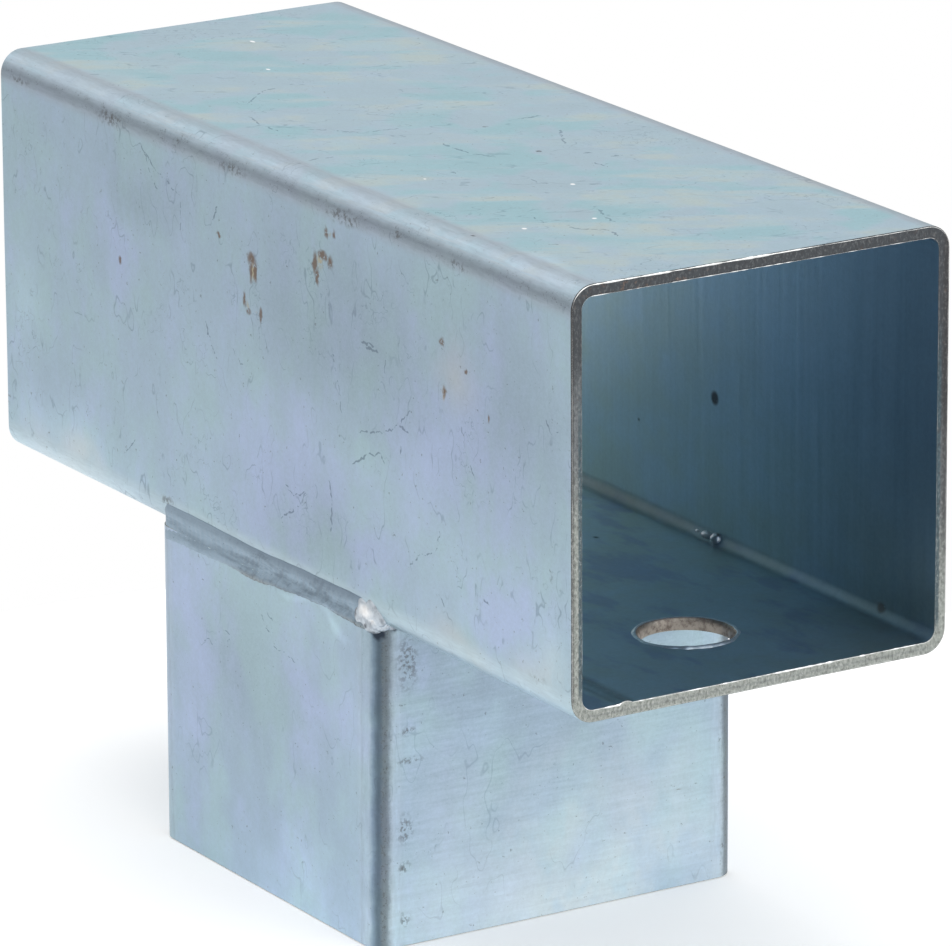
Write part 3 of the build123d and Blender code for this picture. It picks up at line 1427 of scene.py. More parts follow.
@dataclass
class WeldBead:
    """A side weld: it fills the groove under the cross tube and laps down over the branch, rippled."""

    name: str
    side: float
    centre: float
    half_width: float
    height: float
    corner: float
    seed: int
    lows: tuple[float, ...] = (-2.4, -2.0, -1.8, -1.6, -1.9, -1.4, -0.7, -0.4, -0.8, -0.9)
    highs: tuple[float, ...] = (3.9, 4.0, 3.95, 3.8, 3.7, 3.8, 3.95, 4.1, 4.25, 4.2)
    lip: float = 0.24 * MM
    dip: float = 0.16 * MM
    ripple: float = 0.035 * MM
    pitch: float = 1.7 * MM
    root: float = 1.4 * MM
    along: int = 320
    across: int = 28

    def path(self, count: int) -> tuple[np.ndarray, np.ndarray, np.ndarray]:
        """Follows the branch's outline half way round each corner.

        Args:
            count: How many points.

        Returns:
            The points, the outward normals, and the share of the way along.
        """
        flat = self.half_width - self.corner
        arc = self.corner * math.pi / 4
        length = 2 * flat + 2 * arc
        run = np.linspace(0, length, count)
        turn = np.where(run < arc, (run - arc) / self.corner, 0.0)
        turn = np.where(run > arc + 2 * flat, (run - arc - 2 * flat) / self.corner, turn)
        base = np.clip(run - arc - flat, -flat, flat)
        normal = np.stack([np.sin(turn), -np.cos(turn)], -1)
        points = np.stack([self.centre + base, np.full(count, -flat)], -1) + normal * self.corner
        return points, normal, run / length

    def build(self, material: bpy.types.Material) -> bpy.types.Object:
        """Builds the bead.

        Args:
            material: Its material.

        Returns:
            The bead.
        """
        count = self.along
        points, normal, share = self.path(count)
        line = np.concatenate([points, np.zeros((count, 1))], -1)
        known = np.linspace(0, 1, len(self.lows))
        wander = swell(line, 7 * MM, self.seed) * 0.10 + swell(line, 2.2 * MM, self.seed + 1) * 0.13
        low = self.height + (np.interp(share, known, self.lows) + wander) * MM
        high = self.height + np.interp(share, known, self.highs) * MM
        high = high + 0.08 * MM * swell(line, 5 * MM, self.seed + 2)
        ends = np.clip(np.minimum(share, 1 - share) / 0.02, 0, 1) ** 0.5
        full = np.clip(share / 0.07, 0, 1)
        right = np.clip((share - 0.25) / 0.3, 0, 1)
        rows = []
        for k in range(self.across):
            v = k / (self.across - 1)
            height = low + (high - low) * v
            place = np.concatenate([points, height[:, None]], -1)
            above = np.clip((height - self.height) / self.corner, 0, 1)
            tube = -self.corner * (1 - np.sqrt(1 - (1 - above) ** 2)) * (above > 0)
            filled = np.clip((1 - v) / 0.09, 0, 1)
            calm = np.clip((1 - v) / 0.4, 0.25, 1)
            surface = np.where(above > 0, tube * (1 - filled), 0.0)
            hollow = -self.dip * np.sin(math.pi * np.clip((v - 0.22) / 0.55, 0, 1))
            crest = math.exp(-((v - 0.10) / 0.13) ** 2) * min(1.0, v / 0.03)
            swollen = self.lip * crest * (0.3 + 0.7 * right)
            wave = np.sin(2 * math.pi * (share * 74 * MM + 1.1 * MM * (v - 0.4) ** 2) / self.pitch
                          + 1.5 * swell(line, 8 * MM, self.seed + 3))
            lumps = swell(place, 2.6 * MM, self.seed + 4, 7) * 0.5 + swell(place, 7 * MM, self.seed + 5)
            rough = calm * math.sin(math.pi * v) * (self.ripple * wave + 0.05 * MM * lumps)
            proud = surface + hollow + swollen * full + rough + 0.03 * MM * full - 0.12 * MM * (1 - full)
            rows.append(self._row(points, normal, proud * ends - 0.25 * MM * (1 - ends), height))
        for v in (1.0, 0.66, 0.33, 0.0):
            height = low + (high - low) * (0.08 + 0.84 * v)
            rows.append(self._row(points, normal, np.full(count, -self.root), height))
        grid = np.array(rows).transpose(1, 0, 2)
        near, far = grid[:1].mean(1, keepdims=True), grid[-1:].mean(1, keepdims=True)
        wide = (1, grid.shape[1], 1)
        grid = np.concatenate([np.tile(near, wide), grid, np.tile(far, wide)])
        draft = MeshDraft()
        draft.grid(grid, False, True, np.zeros(len(grid), int))
        return draft.make(self.name, [material], 50.0)

    def _row(self, points: np.ndarray, normal: np.ndarray, out: np.ndarray, height: np.ndarray) -> np.ndarray:
        """Places one row of the bead, on the side that it is on."""
        flat = points + normal * out[:, None]
        return np.stack([flat[:, 0], self.side * flat[:, 1], height], -1)


@dataclass(frozen=True)
class Lobe:
    """One rounded lobe of a drop of weld metal: its centre and reach, in millimetres."""

    at: Place
    reach: Place


@dataclass
class WeldDrop:
    """A drop of weld metal: several lobes that have run together."""

    name: str
    lobes: tuple[Lobe, ...]
    seed: int
    voxel: float = 0.16 * MM
    rough: float = 0.12

    def build(self, material: bpy.types.Material) -> bpy.types.Object:
        """Builds the drop as one skin over its lobes.

        Args:
            material: Its material.

        Returns:
            The drop.
        """
        lump = bmesh.new()
        for lobe in self.lobes:
            ball = bmesh.ops.create_icosphere(lump, subdivisions=4, radius=1.0)
            for vert in ball["verts"]:
                push = 1 + self.rough * noise.fractal(vert.co * 1.7 + Vector((self.seed, 0, 0)), 0.8, 2.0, 3)
                vert.co = Vector(
                    (c + p * r * push) * MM for c, p, r in zip(lobe.at, vert.co, lobe.reach)
                )
        mesh = bpy.data.meshes.new(self.name)
        lump.to_mesh(mesh)
        lump.free()
        mesh.materials.append(material)
        made = bpy.data.objects.new(self.name, mesh)
        bpy.context.scene.collection.objects.link(made)
        skin = made.modifiers.new("skin", "REMESH")
        skin.mode = "VOXEL"
        skin.voxel_size = self.voxel
        soft = made.modifiers.new("soft", "SMOOTH")
        soft.iterations = 5
        bake_modifiers(made)
        made.data.shade_smooth()
        return made


@dataclass(frozen=True)
class PhotoCamera:
    """The camera that took the picture: where it looked from, and through how long a lens."""

    aim: Place = (1.09, 3.00, 67.15)
    azimuth: float = 58.18
    elevation: float = 16.71
    roll: float = -0.298
    distance: float = 1324.3
    lens: float = 304.5

    def place(self) -> None:
        """Puts the camera in the scene."""
        data = bpy.data.cameras.new("photo_camera")
        data.lens = self.lens
        data.sensor_width = 36.0
        data.clip_start, data.clip_end = 0.05, 60.0
        camera = bpy.data.objects.new("photo_camera", data)
        turn, tilt = math.radians(self.azimuth), math.radians(self.elevation)
        back = Vector((math.sin(turn) * math.cos(tilt), -math.cos(turn) * math.cos(tilt), math.sin(tilt)))
        camera.matrix_world = (
            Matrix.Translation(Vector(self.aim) * MM + back * self.distance * MM)
            @ Matrix.Rotation(turn, 4, "Z")
            @ Matrix.Rotation(math.pi / 2 - tilt, 4, "X")
            @ Matrix.Rotation(math.radians(self.roll), 4, "Z")
        )
        bpy.context.scene.collection.objects.link(camera)
        bpy.context.scene.camera = camera


@dataclass(frozen=True)
class Lamp:
    """A square lamp: where it hangs and points, in metres, its side and its power in watts."""

    name: str
    at: Place
    towards: Place
    size: float
    power: float


@dataclass(frozen=True)
class Studio:
    """A pale floor under an even sky that is dimmer near the horizon, with soft lamps."""

    floor_size: float = 12.0
    plain_beyond: float = 160.0
    sky: float = 0.92
    sky_stops: tuple[tuple[float, float], ...] = (
        (0.0, 0.70), (0.10, 0.74), (0.24, 0.90), (0.50, 1.10), (1.0, 1.0),
    )
    lamps: tuple[Lamp, ...] = (
        Lamp("top_lamp", (-0.5, -0.2, 2.2), (0.0, 0.0, 0.06), 1.5, 12.0),
        Lamp("end_lamp", (1.25, 0.55, 0.50), (0.03, 0.0, 0.0), 0.8, 5.0),
    )

    def build(self) -> None:
        """Makes the floor, the sky and the lamps."""
        scene = bpy.context.scene
        scene.view_settings.view_transform = "Standard"
        self._floor()
        self._sky(scene)
        for lamp in self.lamps:
            self._hang(lamp)

    def _floor(self) -> None:
        """Lays the floor: white to the camera but for the shadow, and to the metal bright close by, where it
        glows as painted light that no lamp gives.

        Beyond plain_beyond, in millimetres, no shadow reaches, and the camera sees plain white.
        """
        half = self.floor_size / 2
        mesh = bpy.data.meshes.new("floor")
        corners = [(-half, -half, 0), (half, -half, 0), (half, half, 0), (-half, half, 0)]
        mesh.from_pydata(corners, [], [(0, 1, 2, 3)])
        graph = Graph("floor")
        away = graph.distance(graph.place(), (0.0, 0.0, 0.0))
        front = graph.distance(graph.place(), (44.0, 6.0, 0.0))
        grey = graph.profile(away, 0.0, 1000.0, ((0.0, 0.92), (200.0, 0.88), (320.0, 0.70), (1000.0, 0.68)))
        # close and closer make the floor glow to the metal's reflections near the part: painted light, no
        # lamp
        close = graph.profile(away, 0.0, 400.0, ((0.0, 0.10), (190.0, 0.10), (300.0, 0.02), (400.0, 0.0)))
        closer = graph.profile(front, 0.0, 200.0, ((0.0, 0.36), (30.0, 0.32), (75.0, 0.08), (120.0, 0.0)))
        light = graph.node("ShaderNodeLightPath")
        seen = Wire(graph, light.outputs["Is Camera Ray"])
        glossy = Wire(graph, light.outputs["Is Glossy Ray"])
        colour = graph.blend(seen, graph.blend(grey, BLACK, WHITE), (0.95, 0.95, 0.95))
        glow = seen * 0.14 + glossy * (close + closer)
        graph.finish(
            Base_Color=colour,
            Roughness=0.9,
            Specular_IOR_Level=0.0,
            Emission_Color=graph.blend(glow, BLACK, WHITE),
            Emission_Strength=1.0,
        )
        graph.whiten(seen * away.rise(self.plain_beyond, self.plain_beyond + 1.0))
        mesh.materials.append(graph.material)
        floor = bpy.data.objects.new("floor", mesh)
        bpy.context.scene.collection.objects.link(floor)

    def _sky(self, scene: bpy.types.Scene) -> None:
        """Lights the scene from all round, a little dimmer near the horizon.

        Args:
            scene: The scene.
        """
        world = bpy.data.worlds.new("studio")
        world.use_nodes = True
        tree = world.node_tree
        place = tree.nodes.new("ShaderNodeTexCoord")
        parts = tree.nodes.new("ShaderNodeSeparateXYZ")
        ramp = tree.nodes.new("ShaderNodeValToRGB")
        tree.links.new(place.outputs["Generated"], parts.inputs[0])
        tree.links.new(parts.outputs["Z"], ramp.inputs["Fac"])
        tree.links.new(ramp.outputs["Color"], tree.nodes["Background"].inputs["Color"])
        while len(ramp.color_ramp.elements) < len(self.sky_stops):
            ramp.color_ramp.elements.new(1.0)
        for element, (height, grey) in zip(ramp.color_ramp.elements, self.sky_stops):
            element.position = height
            element.color = (grey, grey, grey, 1.0)
        tree.nodes["Background"].inputs["Strength"].default_value = self.sky
        scene.world = world

    def _hang(self, lamp: Lamp) -> None:
        """Hangs one lamp.

        Args:
            lamp: The lamp.
        """
        data = bpy.data.lights.new(lamp.name, "AREA")
        data.size = lamp.size
        data.energy = lamp.power
        made = bpy.data.objects.new(lamp.name, data)
        made.location = lamp.at
        made.rotation_euler = (Vector(lamp.at) - Vector(lamp.towards)).to_track_quat("Z", "Y").to_euler()
        bpy.context.scene.collection.objects.link(made)


@dataclass
class Connector:
    """The whole part: it reads its sizes from the frame and builds every piece.

    drop_out is how far the middles of the weld's drops stand from the part's middle, in millimetres.
    """

    stock: TubeStock = field(default_factory=TubeStock)
    hole_from_end: float = 25 * MM
    hole_shift: float = 2.35 * MM
    drop_out: float = 34.3

    def __post_init__(self) -> None:
        """Reads the boxes of the two tubes."""
        self.cross_low, self.cross_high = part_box("cross_tube")
        self.branch_low, self.branch_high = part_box("branch_tube")

    def settle(self, piece: bpy.types.Object) -> None:
        """Fixes a piece to the part and logs its name and number of faces.

        Args:
            piece: The piece.
        """
        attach(piece, ROOT)
        LOG.info("%s: %d faces", piece.name, len(piece.data.polygons))

    def cross_marks(self) -> PlatedSteel:
        """Gives the cross tube's finish, with the marks at their places."""
        side = FRONT
        return PlatedSteel(
            sort=Sort.CROSS,
            blooms=(
                Mark((56, side, 92), (30, 30, 26)),
                Mark((4, side, 74), (34, 30, 20)),
                Mark((30, side, 66), (30, 30, 12), 0.7),
                Mark((68, side, 68), (18, 30, 14), 0.9),
                Mark((-50, side, 100), (26, 30, 24), 0.7),
                Mark((10, side, 116), (40, 30, 10), 0.4),
            ),
            greens=(
                Mark((-88, side, 92), (18, 30, 50)),
                Mark((-66, side, 62), (30, 30, 12), 0.6),
                Mark((26, side, 82), (20, 30, 12), 0.6),
                Mark((86, side, 62), (14, 30, 20), 0.8),
                Mark((-66, -26, 125), (24, 20, 10)),
                Mark((60, -8, 125), (30, 16, 10), 0.8),
            ),
            creams=(
                Mark((82, side, 62), (18, 30, 12), 0.7),
                Mark((58, side, 57), (26, 30, 8), 0.8),
                Mark((-70, side, 57), (30, 30, 8), 0.8),
                Mark((54, side, 104), (10, 30, 12), 0.7),
            ),
            shades=(
                Mark((24, side, 102), (56, 30, 26)),
                Mark((-40, side, 112), (40, 30, 16), 0.7),
                Mark((72, side, 98), (40, 30, 34), 0.9),
                Mark((14, side, 66), (38, 30, 16)),
            ),
            glows=(
                Mark((-72, side, 56), (44, 30, 20), 0.9),
                Mark((-84, side, 84), (24, 30, 40), 0.6),
                Mark((84, side, 64), (16, 30, 18), 0.6),
                Mark((78, -33, 123), (30, 6, 4), 0.7),
            ),
            rusts=(
                Mark((-6.2, side, 107.7), (1.9, 4, 1.5)),
                Mark((-6.3, side, 105.4), (0.7, 4, 2.4)),
                Mark((-4.9, side, 105.9), (0.8, 4, 2.8)),
                Mark((13.9, side, 111.5), (0.9, 4, 2.8)),
                Mark((14.7, side, 109.4), (0.9, 4, 2.2)),
                Mark((16.4, side, 113.3), (2.2, 4, 1.2)),
                Mark((18.7, side, 112.6), (1.2, 4, 1.6), 0.9),
                Mark((17.6, side, 117.2), (0.9, 4, 1.5), 0.9),
                Mark((20.0, side, 117.4), (0.9, 4, 1.3), 0.8),
                Mark((-8.5, side, 100.3), (0.9, 4, 1.9), 0.9),
                Mark((-7.2, side, 98.6), (1.4, 4, 0.9), 0.9),
                Mark((-3.3, side, 98.7), (0.8, 4, 2.2), 0.9),
                Mark((52.4, side, 107.5), (1.3, 4, 1.1), 0.9),
                Mark((53.0, side, 99.6), (0.9, 4, 1.9), 0.8),
                Mark((59.4, side, 104.4), (0.8, 4, 0.8), 0.9),
                Mark((66.1, side, 98.5), (0.7, 4, 1.2), 0.8),
                Mark((-49.5, side, 97.5), (0.8, 4, 1.2), 0.9),
                Mark((-16.6, side, 109.3), (0.8, 4, 0.7)),
            ),
            tans=(
                Mark((-5.6, side, 105.8), (1.2, 4, 2.6), 0.9),
                Mark((15.5, side, 112.0), (1.7, 4, 2.2), 0.8),
                Mark((18.8, side, 117.3), (1.8, 4, 1.2), 0.5),
                Mark((-7.4, side, 99.6), (1.3, 4, 1.6), 0.6),
                Mark((-4.6, side, 99.0), (1.8, 4, 0.6), 0.4),
                Mark((52.9, side, 99.3), (0.9, 4, 2.1), 0.8),
                Mark((66.1, side, 98.4), (0.6, 4, 1.2), 0.6),
            ),
            grime=(
                Mark((-83, -34.6, 121.2), (6, 3, 1.3), 0.8),
                Mark((-52, -34.4, 121.2), (6.5, 3, 1.6)),
                Mark((-30, -34.4, 121.8), (1.8, 3, 1.0)),
                Mark((-12, -34.4, 121.2), (7.0, 3, 1.3), 0.9),
                Mark((23, -34.4, 121.0), (8.0, 3, 1.8)),
                Mark((39, -34.4, 121.6), (1.4, 3, 0.9)),
                Mark((57, -34.4, 120.8), (7.0, 3, 1.3), 0.8),
                Mark((-89.3, -35, 63.9), (1.0, 3, 1.4)),
                Mark((-35.0, -35, 59.4), (2.6, 3, 1.3)),
                Mark((80, -35, 60), (7, 3, 1.8), 0.5),
                Mark((84, -35, 77), (1.2, 3, 7), 0.5),
            ),
            pits=(
                Mark((-0.8, 6.4, 125), (0.6, 0.6, 2), 0.8),
                Mark((17.3, 5.1, 125), (0.6, 0.6, 2), 0.9),
                Mark((56.1, -31.4, 125), (0.8, 0.6, 2), 0.8),
                Mark((64.3, -31.9, 125), (0.8, 0.6, 2), 0.8),
            ),
            flecks=(
                Mark((22.4, -19.5, 125), (0.5, 0.4, 2), 0.8),
                Mark((56.8, -22.5, 125), (0.6, 0.5, 2)),
                Mark((-72.3, 4.3, 125), (0.9, 0.45, 2)),
                Mark((-53.8, -3.5, 125), (0.7, 0.4, 2)),
                Mark((38.0, -1.6, 125), (0.6, 0.5, 2)),
                Mark((57.6, -10.1, 125), (0.5, 0.5, 2)),
            ),
            hairs=(
                Stroke(on_side((-42.5, 119.0), (-36.6, 115.5), (-29.1, 113.0), (-29.3, 106.7)), 0.16),
                Stroke(on_side((-40.9, 118.3), (-38.3, 113.7), (-35.7, 111.7))),
                Stroke(on_side((-16.7, 114.4), (-18.4, 111.2)), 0.16),
                Stroke(on_side((-21.4, 93.9), (-19.5, 89.9), (-17.3, 87.5)), 0.16),
                Stroke(on_side((-12.7, 91.0), (-9.2, 88.6))),
                Stroke(on_side((18.6, 99.4), (20.4, 94.8), (21.3, 91.2), (21.8, 88.5))),
                Stroke(on_side((28.5, 101.3), (33.4, 101.3)), 0.26),
                Stroke(on_side((27.9, 101.8), (32.5, 102.1)), 0.2),
                Stroke(on_side((35.3, 101.4), (35.2, 97.9)), 0.15),
                Stroke(on_side((26.8, 86.7), (34.5, 88.3), (39.1, 90.8), (42.8, 94.3)), 0.16),
                Stroke(on_side((39.1, 90.8), (42.8, 90.3)), 0.2),
                Stroke(on_side((24.8, 80.7), (29.8, 83.6), (33.8, 84.8), (35.1, 83.0)), 0.2),
                Stroke(on_side((39.7, 88.3), (40.0, 85.8)), 0.16),
                Stroke(on_side((3.6, 72.1), (6.5, 70.9), (10.3, 72.4), (8.3, 69.4), (1.3, 65.5)), 0.16),
                Stroke(on_side((17.6, 76.9), (18.5, 72.9), (18.1, 67.3)), 0.18),
                Stroke(on_side((60.5, 89.6), (61.9, 87.7)), 0.18),
                Stroke(on_side((82.5, 102.5), (83.9, 100.5), (86.5, 101.7)), 0.16),
                Stroke(on_side((41.9, 67.9), (45.3, 71.1), (50.2, 72.7), (51.4, 76.5))),
                Stroke(on_side((51.0, 66.0), (52.8, 64.1)), 0.18),
                Stroke(on_side((63.6, 69.3), (67.5, 67.0)), 0.18),
                Stroke(on_side((-49.8, 63.7), (-44.6, 68.0))),
                Stroke(on_top((-35.8, -17.8), (-39.0, -14.5), (-41.5, -11.6), (-41.9, -8.8)), 0.2),
                Stroke(on_top((-27.9, -22.5), (-21.4, -23.6), (-16.5, -23.4)), 0.22),
                Stroke(on_top((-15.4, -19.1), (-12.4, -15.6), (-8.3, -12.7), (-7.6, -5.7)), 0.2),
                Stroke(on_top((2.5, -28.9), (2.0, -27.2)), 0.24),
                Stroke(on_top((2.7, -26.0), (2.5, -24.5)), 0.2),
                Stroke(on_top((4.4, -5.3), (7.9, -5.3), (12.6, -4.8), (16.7, -2.6)), 0.24),
                Stroke(on_top((20.4, -14.1), (22.3, -13.4)), 0.2),
                Stroke(on_top((37.3, -18.1), (38.5, -16.3)), 0.2),
                Stroke(on_top((51.4, -17.6), (55.5, -18.1)), 0.2),
                Stroke(
                    on_top((59.9, -16.3), (61.7, -15.4), (63.5, -13.2), (64.8, -12.0), (68.6, -12.7)), 0.24
                ),
                Stroke(on_top((53.2, -6.4), (57.8, -8.3), (61.2, -8.6)), 0.2),
                Stroke(on_top((66.7, -24.3), (67.8, -23.1)), 0.34),
                Stroke(on_top((22.2, 10.6), (22.8, 11.9)), 0.3),
                Stroke(on_top((26.3, 12.9), (26.8, 14.5)), 0.28),
                Stroke(on_top((27.9, 8.6), (31.7, 9.0)), 0.22),
                Stroke(on_top((31.8, -5.7), (34.4, -5.6), (36.0, -4.5)), 0.2),
                Stroke(on_top((39.9, -8.4), (41.1, -6.9)), 0.26),
                Stroke(on_top((7.3, 15.7), (11.9, 13.0), (16.6, 10.9)), 0.2),
                Stroke(on_top((-2.0, 13.9), (-2.2, 18.4)), 0.22),
                Stroke(on_top((39.4, 0.4), (40.5, 2.6)), 0.22),
            ),
        )

    def branch_marks(self) -> PlatedSteel:
        """Gives the branch's finish, with the marks at their places."""
        side, end = FRONT, BRANCH_END
        return PlatedSteel(
            sort=Sort.BRANCH,
            base=paint(162, 182, 199),
            blooms=(
                Mark((-26, side, 38), (14, 8, 30)),
                Mark((14, side, 36), (20, 8, 18), 0.9),
                Mark((-10, side, 10), (20, 8, 12), 0.6),
            ),
            greens=(
                Mark((-4, side, 24), (14, 8, 16), 0.5),
                Mark((end, 0, 20), (8, 30, 40), 0.5),
            ),
            glows=(
                Mark((14, side, 53.4), (16, 3, 1.3)),
                Mark((end, 2, -7), (8, 56, 36)),
                Mark((8, side, -4), (50, 8, 26), 0.9),
            ),
            creams=(Mark((end, 4, -2), (8, 60, 50), 0.9),),
            shades=(Mark((end, -4, 62), (8, 70, 60)), Mark((-10, side, 36), (50, 8, 26), 0.9)),
            # Painted shadow in the crevices where the weld drop and the cross tube meet the branch's top
            # corner
            pits=(
                Mark((30.3, -33.6, 53.5), (1.6, 1.8, 1.4)),
                Mark((31.2, -31.0, 54.4), (1.2, 1.2, 1.0)),
            ),
            rusts=(
                Mark((-17.6, side, 54.2), (1.0, 3, 0.8)),
                Mark((end, 23.4, 17.0), (3, 1.4, 0.4), 0.6),
            ),
            grime=(
                Mark((end, -28.6, 48), (3, 3.2, 7.0), 0.9),
                Mark((end, -28.6, 36.5), (3, 2.4, 1.2), 0.9),
                Mark((end, -28.2, 31.6), (3, 3.4, 0.7)),
                Mark((end, -29.4, 20), (3, 2.4, 4.0), 0.9),
                Mark((end, -29.6, 13.6), (3, 1.6, 1.4)),
                Mark((end, -29.4, 4.6), (3, 1.6, 1.8), 0.9),
                Mark((end, 32.0, 5.2), (3, 0.8, 2.4), 0.8),
                Mark((end, 31.4, 24.1), (3, 0.6, 3.0), 0.7),
            ),
            hairs=(
                Stroke(on_side((-4.5, 47.9), (-3.0, 46.1), (-0.7, 45.5))),
                Stroke(on_side((-23.4, 38.0), (-21.7, 39.0), (-20.1, 37.2))),
                Stroke(on_side((-16.7, 41.6), (-14.8, 41.7), (-15.8, 39.7))),
                Stroke(on_side((-0.8, 43.1), (3.4, 43.2), (6.6, 42.3))),
                Stroke(on_side((-2.9, 49.0), (-0.4, 47.3))),
            ),
        )

    def build_cross_tube(self) -> CrossTube:
        """Builds the cross tube with its holes.

        Returns:
            The tube's own description, which the burrs follow.
        """
        low, high = self.cross_low, self.cross_high
        near, far = high.x - self.hole_from_end, low.x + self.hole_from_end
        places = ((near, self.hole_shift), (far, self.hole_shift))
        tube = CrossTube(
            stock=self.stock,
            name="cross_tube_skin",
            start=low.x,
            end=high.x,
            seed=11,
            axis_height=(low.z + high.z) / 2,
            holes=places,
        )
        inside = InnerSteel("plated_inside_cross", spots=(
            Mark((26.8, 33, 81.5), (1.5, 3, 1.6)),
            Mark((75.1, 33, 58.6), (1.6, 3, 1.2)),
            Mark((14.4, 17.9, 57), (1.6, 1.2, 2), 0.6),
            Mark((4.1, 33, 72.3), (1.2, 3, 1.0), 0.5),
        ))
        marks = self.cross_marks()
        rest, top, front = (marks.only(face).material() for face in (Face.REST, Face.TOP, Face.FRONT))
        materials = [rest, inside.material(), SawnSteel("sawn_rim_cross").material(), top, front]
        made = tube.build(materials)
        tube.part_faces(made, materials.index(top), materials.index(front))
        tube.drill(made)
        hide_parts("cross_tube")
        self.settle(made)
        cut = BrightEdge(
            "cut_wall", base=paint(150, 144, 136), stain=paint(92, 80, 74), stained=0.75, roughness=0.42
        ).material()
        bright = BrightEdge(
            "turned_lip", base=paint(206, 220, 230), stain=paint(120, 140, 156), stained=0.4
        ).material()
        for number, (x, y) in enumerate(places):
            rim = HoleRim(f"hole_rim_{number}", (x, y, low.z), seed=31 + number)
            self.settle(rim.build(cut, bright))
        return tube

    def build_branch_tube(self) -> BranchTube:
        """Builds the branch.

        Returns:
            The tube's own description.
        """
        low, high = self.branch_low, self.branch_high
        tube = BranchTube(
            stock=self.stock,
            name="branch_tube_skin",
            start=low.z,
            end=high.z,
            seed=23,
            start_inset=0.04 * MM,
            end_inset=0.0,
            centre=(low.x + high.x) / 2,
        )
        inside = InnerSteel("plated_inside_branch")
        rim = SawnSteel("sawn_rim_branch", shaded_and_stained=False)
        made = tube.build([self.branch_marks().material(), inside.material(), rim.material()])
        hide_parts("branch_tube")
        self.settle(made)
        return tube

    def build_burrs(self, tube: CrossTube) -> None:
        """Adds the burrs round the cross tube's sawn mouths.

        Args:
            tube: The cross tube.
        """
        bright = BrightEdge("burr", stained=0.15, metallic=0.45).material()
        for at_end, mouth in ((True, "near"), (False, "far")):
            for share, edge, depth in ((1.0, "outer", 0.19 * MM), (0.0, "inner", 0.28 * MM)):
                loop, normals = tube.edge_loop(at_end, share)
                outward = np.stack([np.zeros(len(normals)), normals[:, 0], normals[:, 1]], -1)
                if edge == "inner":
                    outward = -outward
                    weight = np.clip(-normals[:, 1], 0, 1) + 0.4 * np.clip(normals[:, 1], 0, 1) + 0.05
                else:
                    across = loop[:, 1] / MM
                    weight = np.clip(normals[:, 1], 0, 1) * np.clip((12 - across) / 10, 0.15, 1) + 0.05
                way = np.array([1.0 if at_end else -1.0, 0.0, 0.0])
                shift = -outward * depth * (1.15 if edge == "outer" else 0.1) - way * 0.02 * MM
                gaps = 0.42 if edge == "inner" else 0.0
                seed = 41 + 2 * at_end + (edge == "inner")
                burr = EdgeBurr(f"burr_{mouth}_{edge}", depth, gaps=gaps, seed=seed)
                made = burr.build(loop + shift, outward, way, np.clip(weight, 0, 1), bright)
                self.settle(made)

    def build_welds(self) -> None:
        """Adds the two side welds, their drops and the drop that has burnt through."""
        metal = WeldMetal().material((self.branch_high.z - 1.8 * MM) / MM)
        shine = BrightEdge(
            "weld_drop",
            base=paint(196, 205, 213),
            stain=paint(112, 118, 128),
            stained=0.38,
            grain=0.7,
            roughness=0.34,
            # Painted shadows in the gaps where the drop meets the tubes, and soot
            shadows_and_soot=(
                Mark((25.7, -35, 56.4), (0.8, 3, 2.2), 0.8),
                Mark((28.4, -35, 59.7), (4.4, 3, 1.0), 0.8),
                Mark((32.4, -35, 59.2), (1.4, 3, 0.9), 0.9),
                Mark((29.2, -35, 55.0), (0.9, 3, 0.6), 0.9),
                Mark((33.2, -35, 56.6), (0.9, 3, 1.8), 0.6),
                Mark((30.5, -34.4, 53.7), (2.0, 2, 1.1)),
                Mark((31.9, -31.4, 55.1), (1.6, 1.3, 1.4)),
            ),
            lit=(
                Mark((29.0, -35.4, 57.4), (3.0, 2, 1.5)),
                Mark((30.9, -35.2, 56.2), (1.8, 2, 0.9), 0.8),
                Mark((31.5, -33.2, 55.4), (1.2, 1.2, 0.9), 0.7),
            ),
        ).material()
        centre = (self.branch_low.x + self.branch_high.x) / 2
        near = self.branch_high.x / MM
        far = self.branch_low.x / MM
        for side, name in ((1.0, "front"), (-1.0, "back")):
            bead = WeldBead(
                name=f"weld_{name}_bead",
                side=side,
                centre=centre,
                half_width=self.stock.width / 2,
                height=self.branch_high.z,
                corner=self.stock.corner,
                seed=51 if name == "front" else 61,
            )
            made = bead.build(metal)
            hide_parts(f"weld_{name}")
            self.settle(made)
            y = -self.drop_out * side
            stop = WeldDrop(f"weld_{name}_stop", (
                Lobe((near - 2.6, y, 56.6), (3.2, 1.15, 2.3)),
                Lobe((near - 0.6, y - 0.1 * side, 57.8), (2.3, 1.05, 2.0)),
                Lobe((near + 0.8, y + 0.1 * side, 57.2), (1.8, 1.1, 1.8)),
                Lobe((near - 1.6, y + 0.2 * side, 55.1), (2.3, 1.3, 1.5)),
                Lobe((near + 0.2, y + 0.9 * side, 55.9), (1.5, 1.9, 1.6)),
                Lobe((near + 0.6, y + 2.7 * side, 55.3), (0.8, 1.5, 1.0)),
                Lobe((near - 4.6, y - 0.1 * side, 55.8), (1.8, 0.9, 1.7)),
                Lobe((near - 3.4, y - 0.3 * side, 58.2), (1.6, 0.7, 1.1)),
            ), seed=3, voxel=0.12 * MM, rough=0.10)
            self.settle(stop.build(shine))
            start = WeldDrop(f"weld_{name}_start", (
                Lobe((far + 3.4, y + 1.0 * side, 56.4), (1.4, 1.0, 1.6)),
                Lobe((far + 4.4, y + 0.2 * side, 57.4), (1.7, 0.7, 1.1)),
            ), seed=5)
            self.settle(start.build(metal))
        through = WeldDrop("burnt_through_drop", (
            Lobe((28.0, 32.6, 57.8), (1.3, 0.9, 1.0)),
            Lobe((25.2, 32.7, 57.7), (1.7, 0.7, 0.7)),
            Lobe((22.4, 32.9, 57.7), (0.9, 0.5, 0.4)),
        ), seed=9, voxel=0.12 * MM)
        self.settle(through.build(shine))


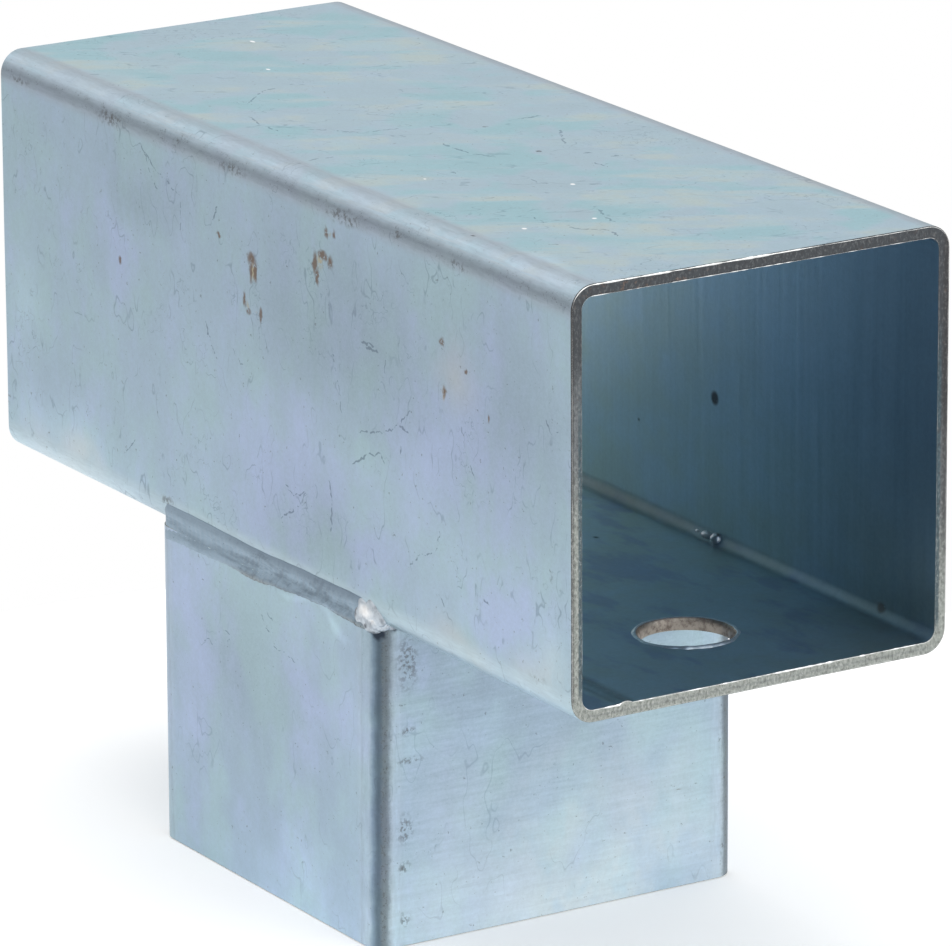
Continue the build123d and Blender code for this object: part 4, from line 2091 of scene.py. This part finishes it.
def main() -> None:
    """Builds the studio and the connector, and reports each piece."""
    logging.basicConfig(level=logging.INFO, format="%(name)s %(message)s")
    PhotoCamera().place()
    Studio().build()
    connector = Connector()
    cross = connector.build_cross_tube()
    connector.build_branch_tube()
    connector.build_burrs(cross)
    connector.build_welds()


if __name__ == "__main__":
    main()
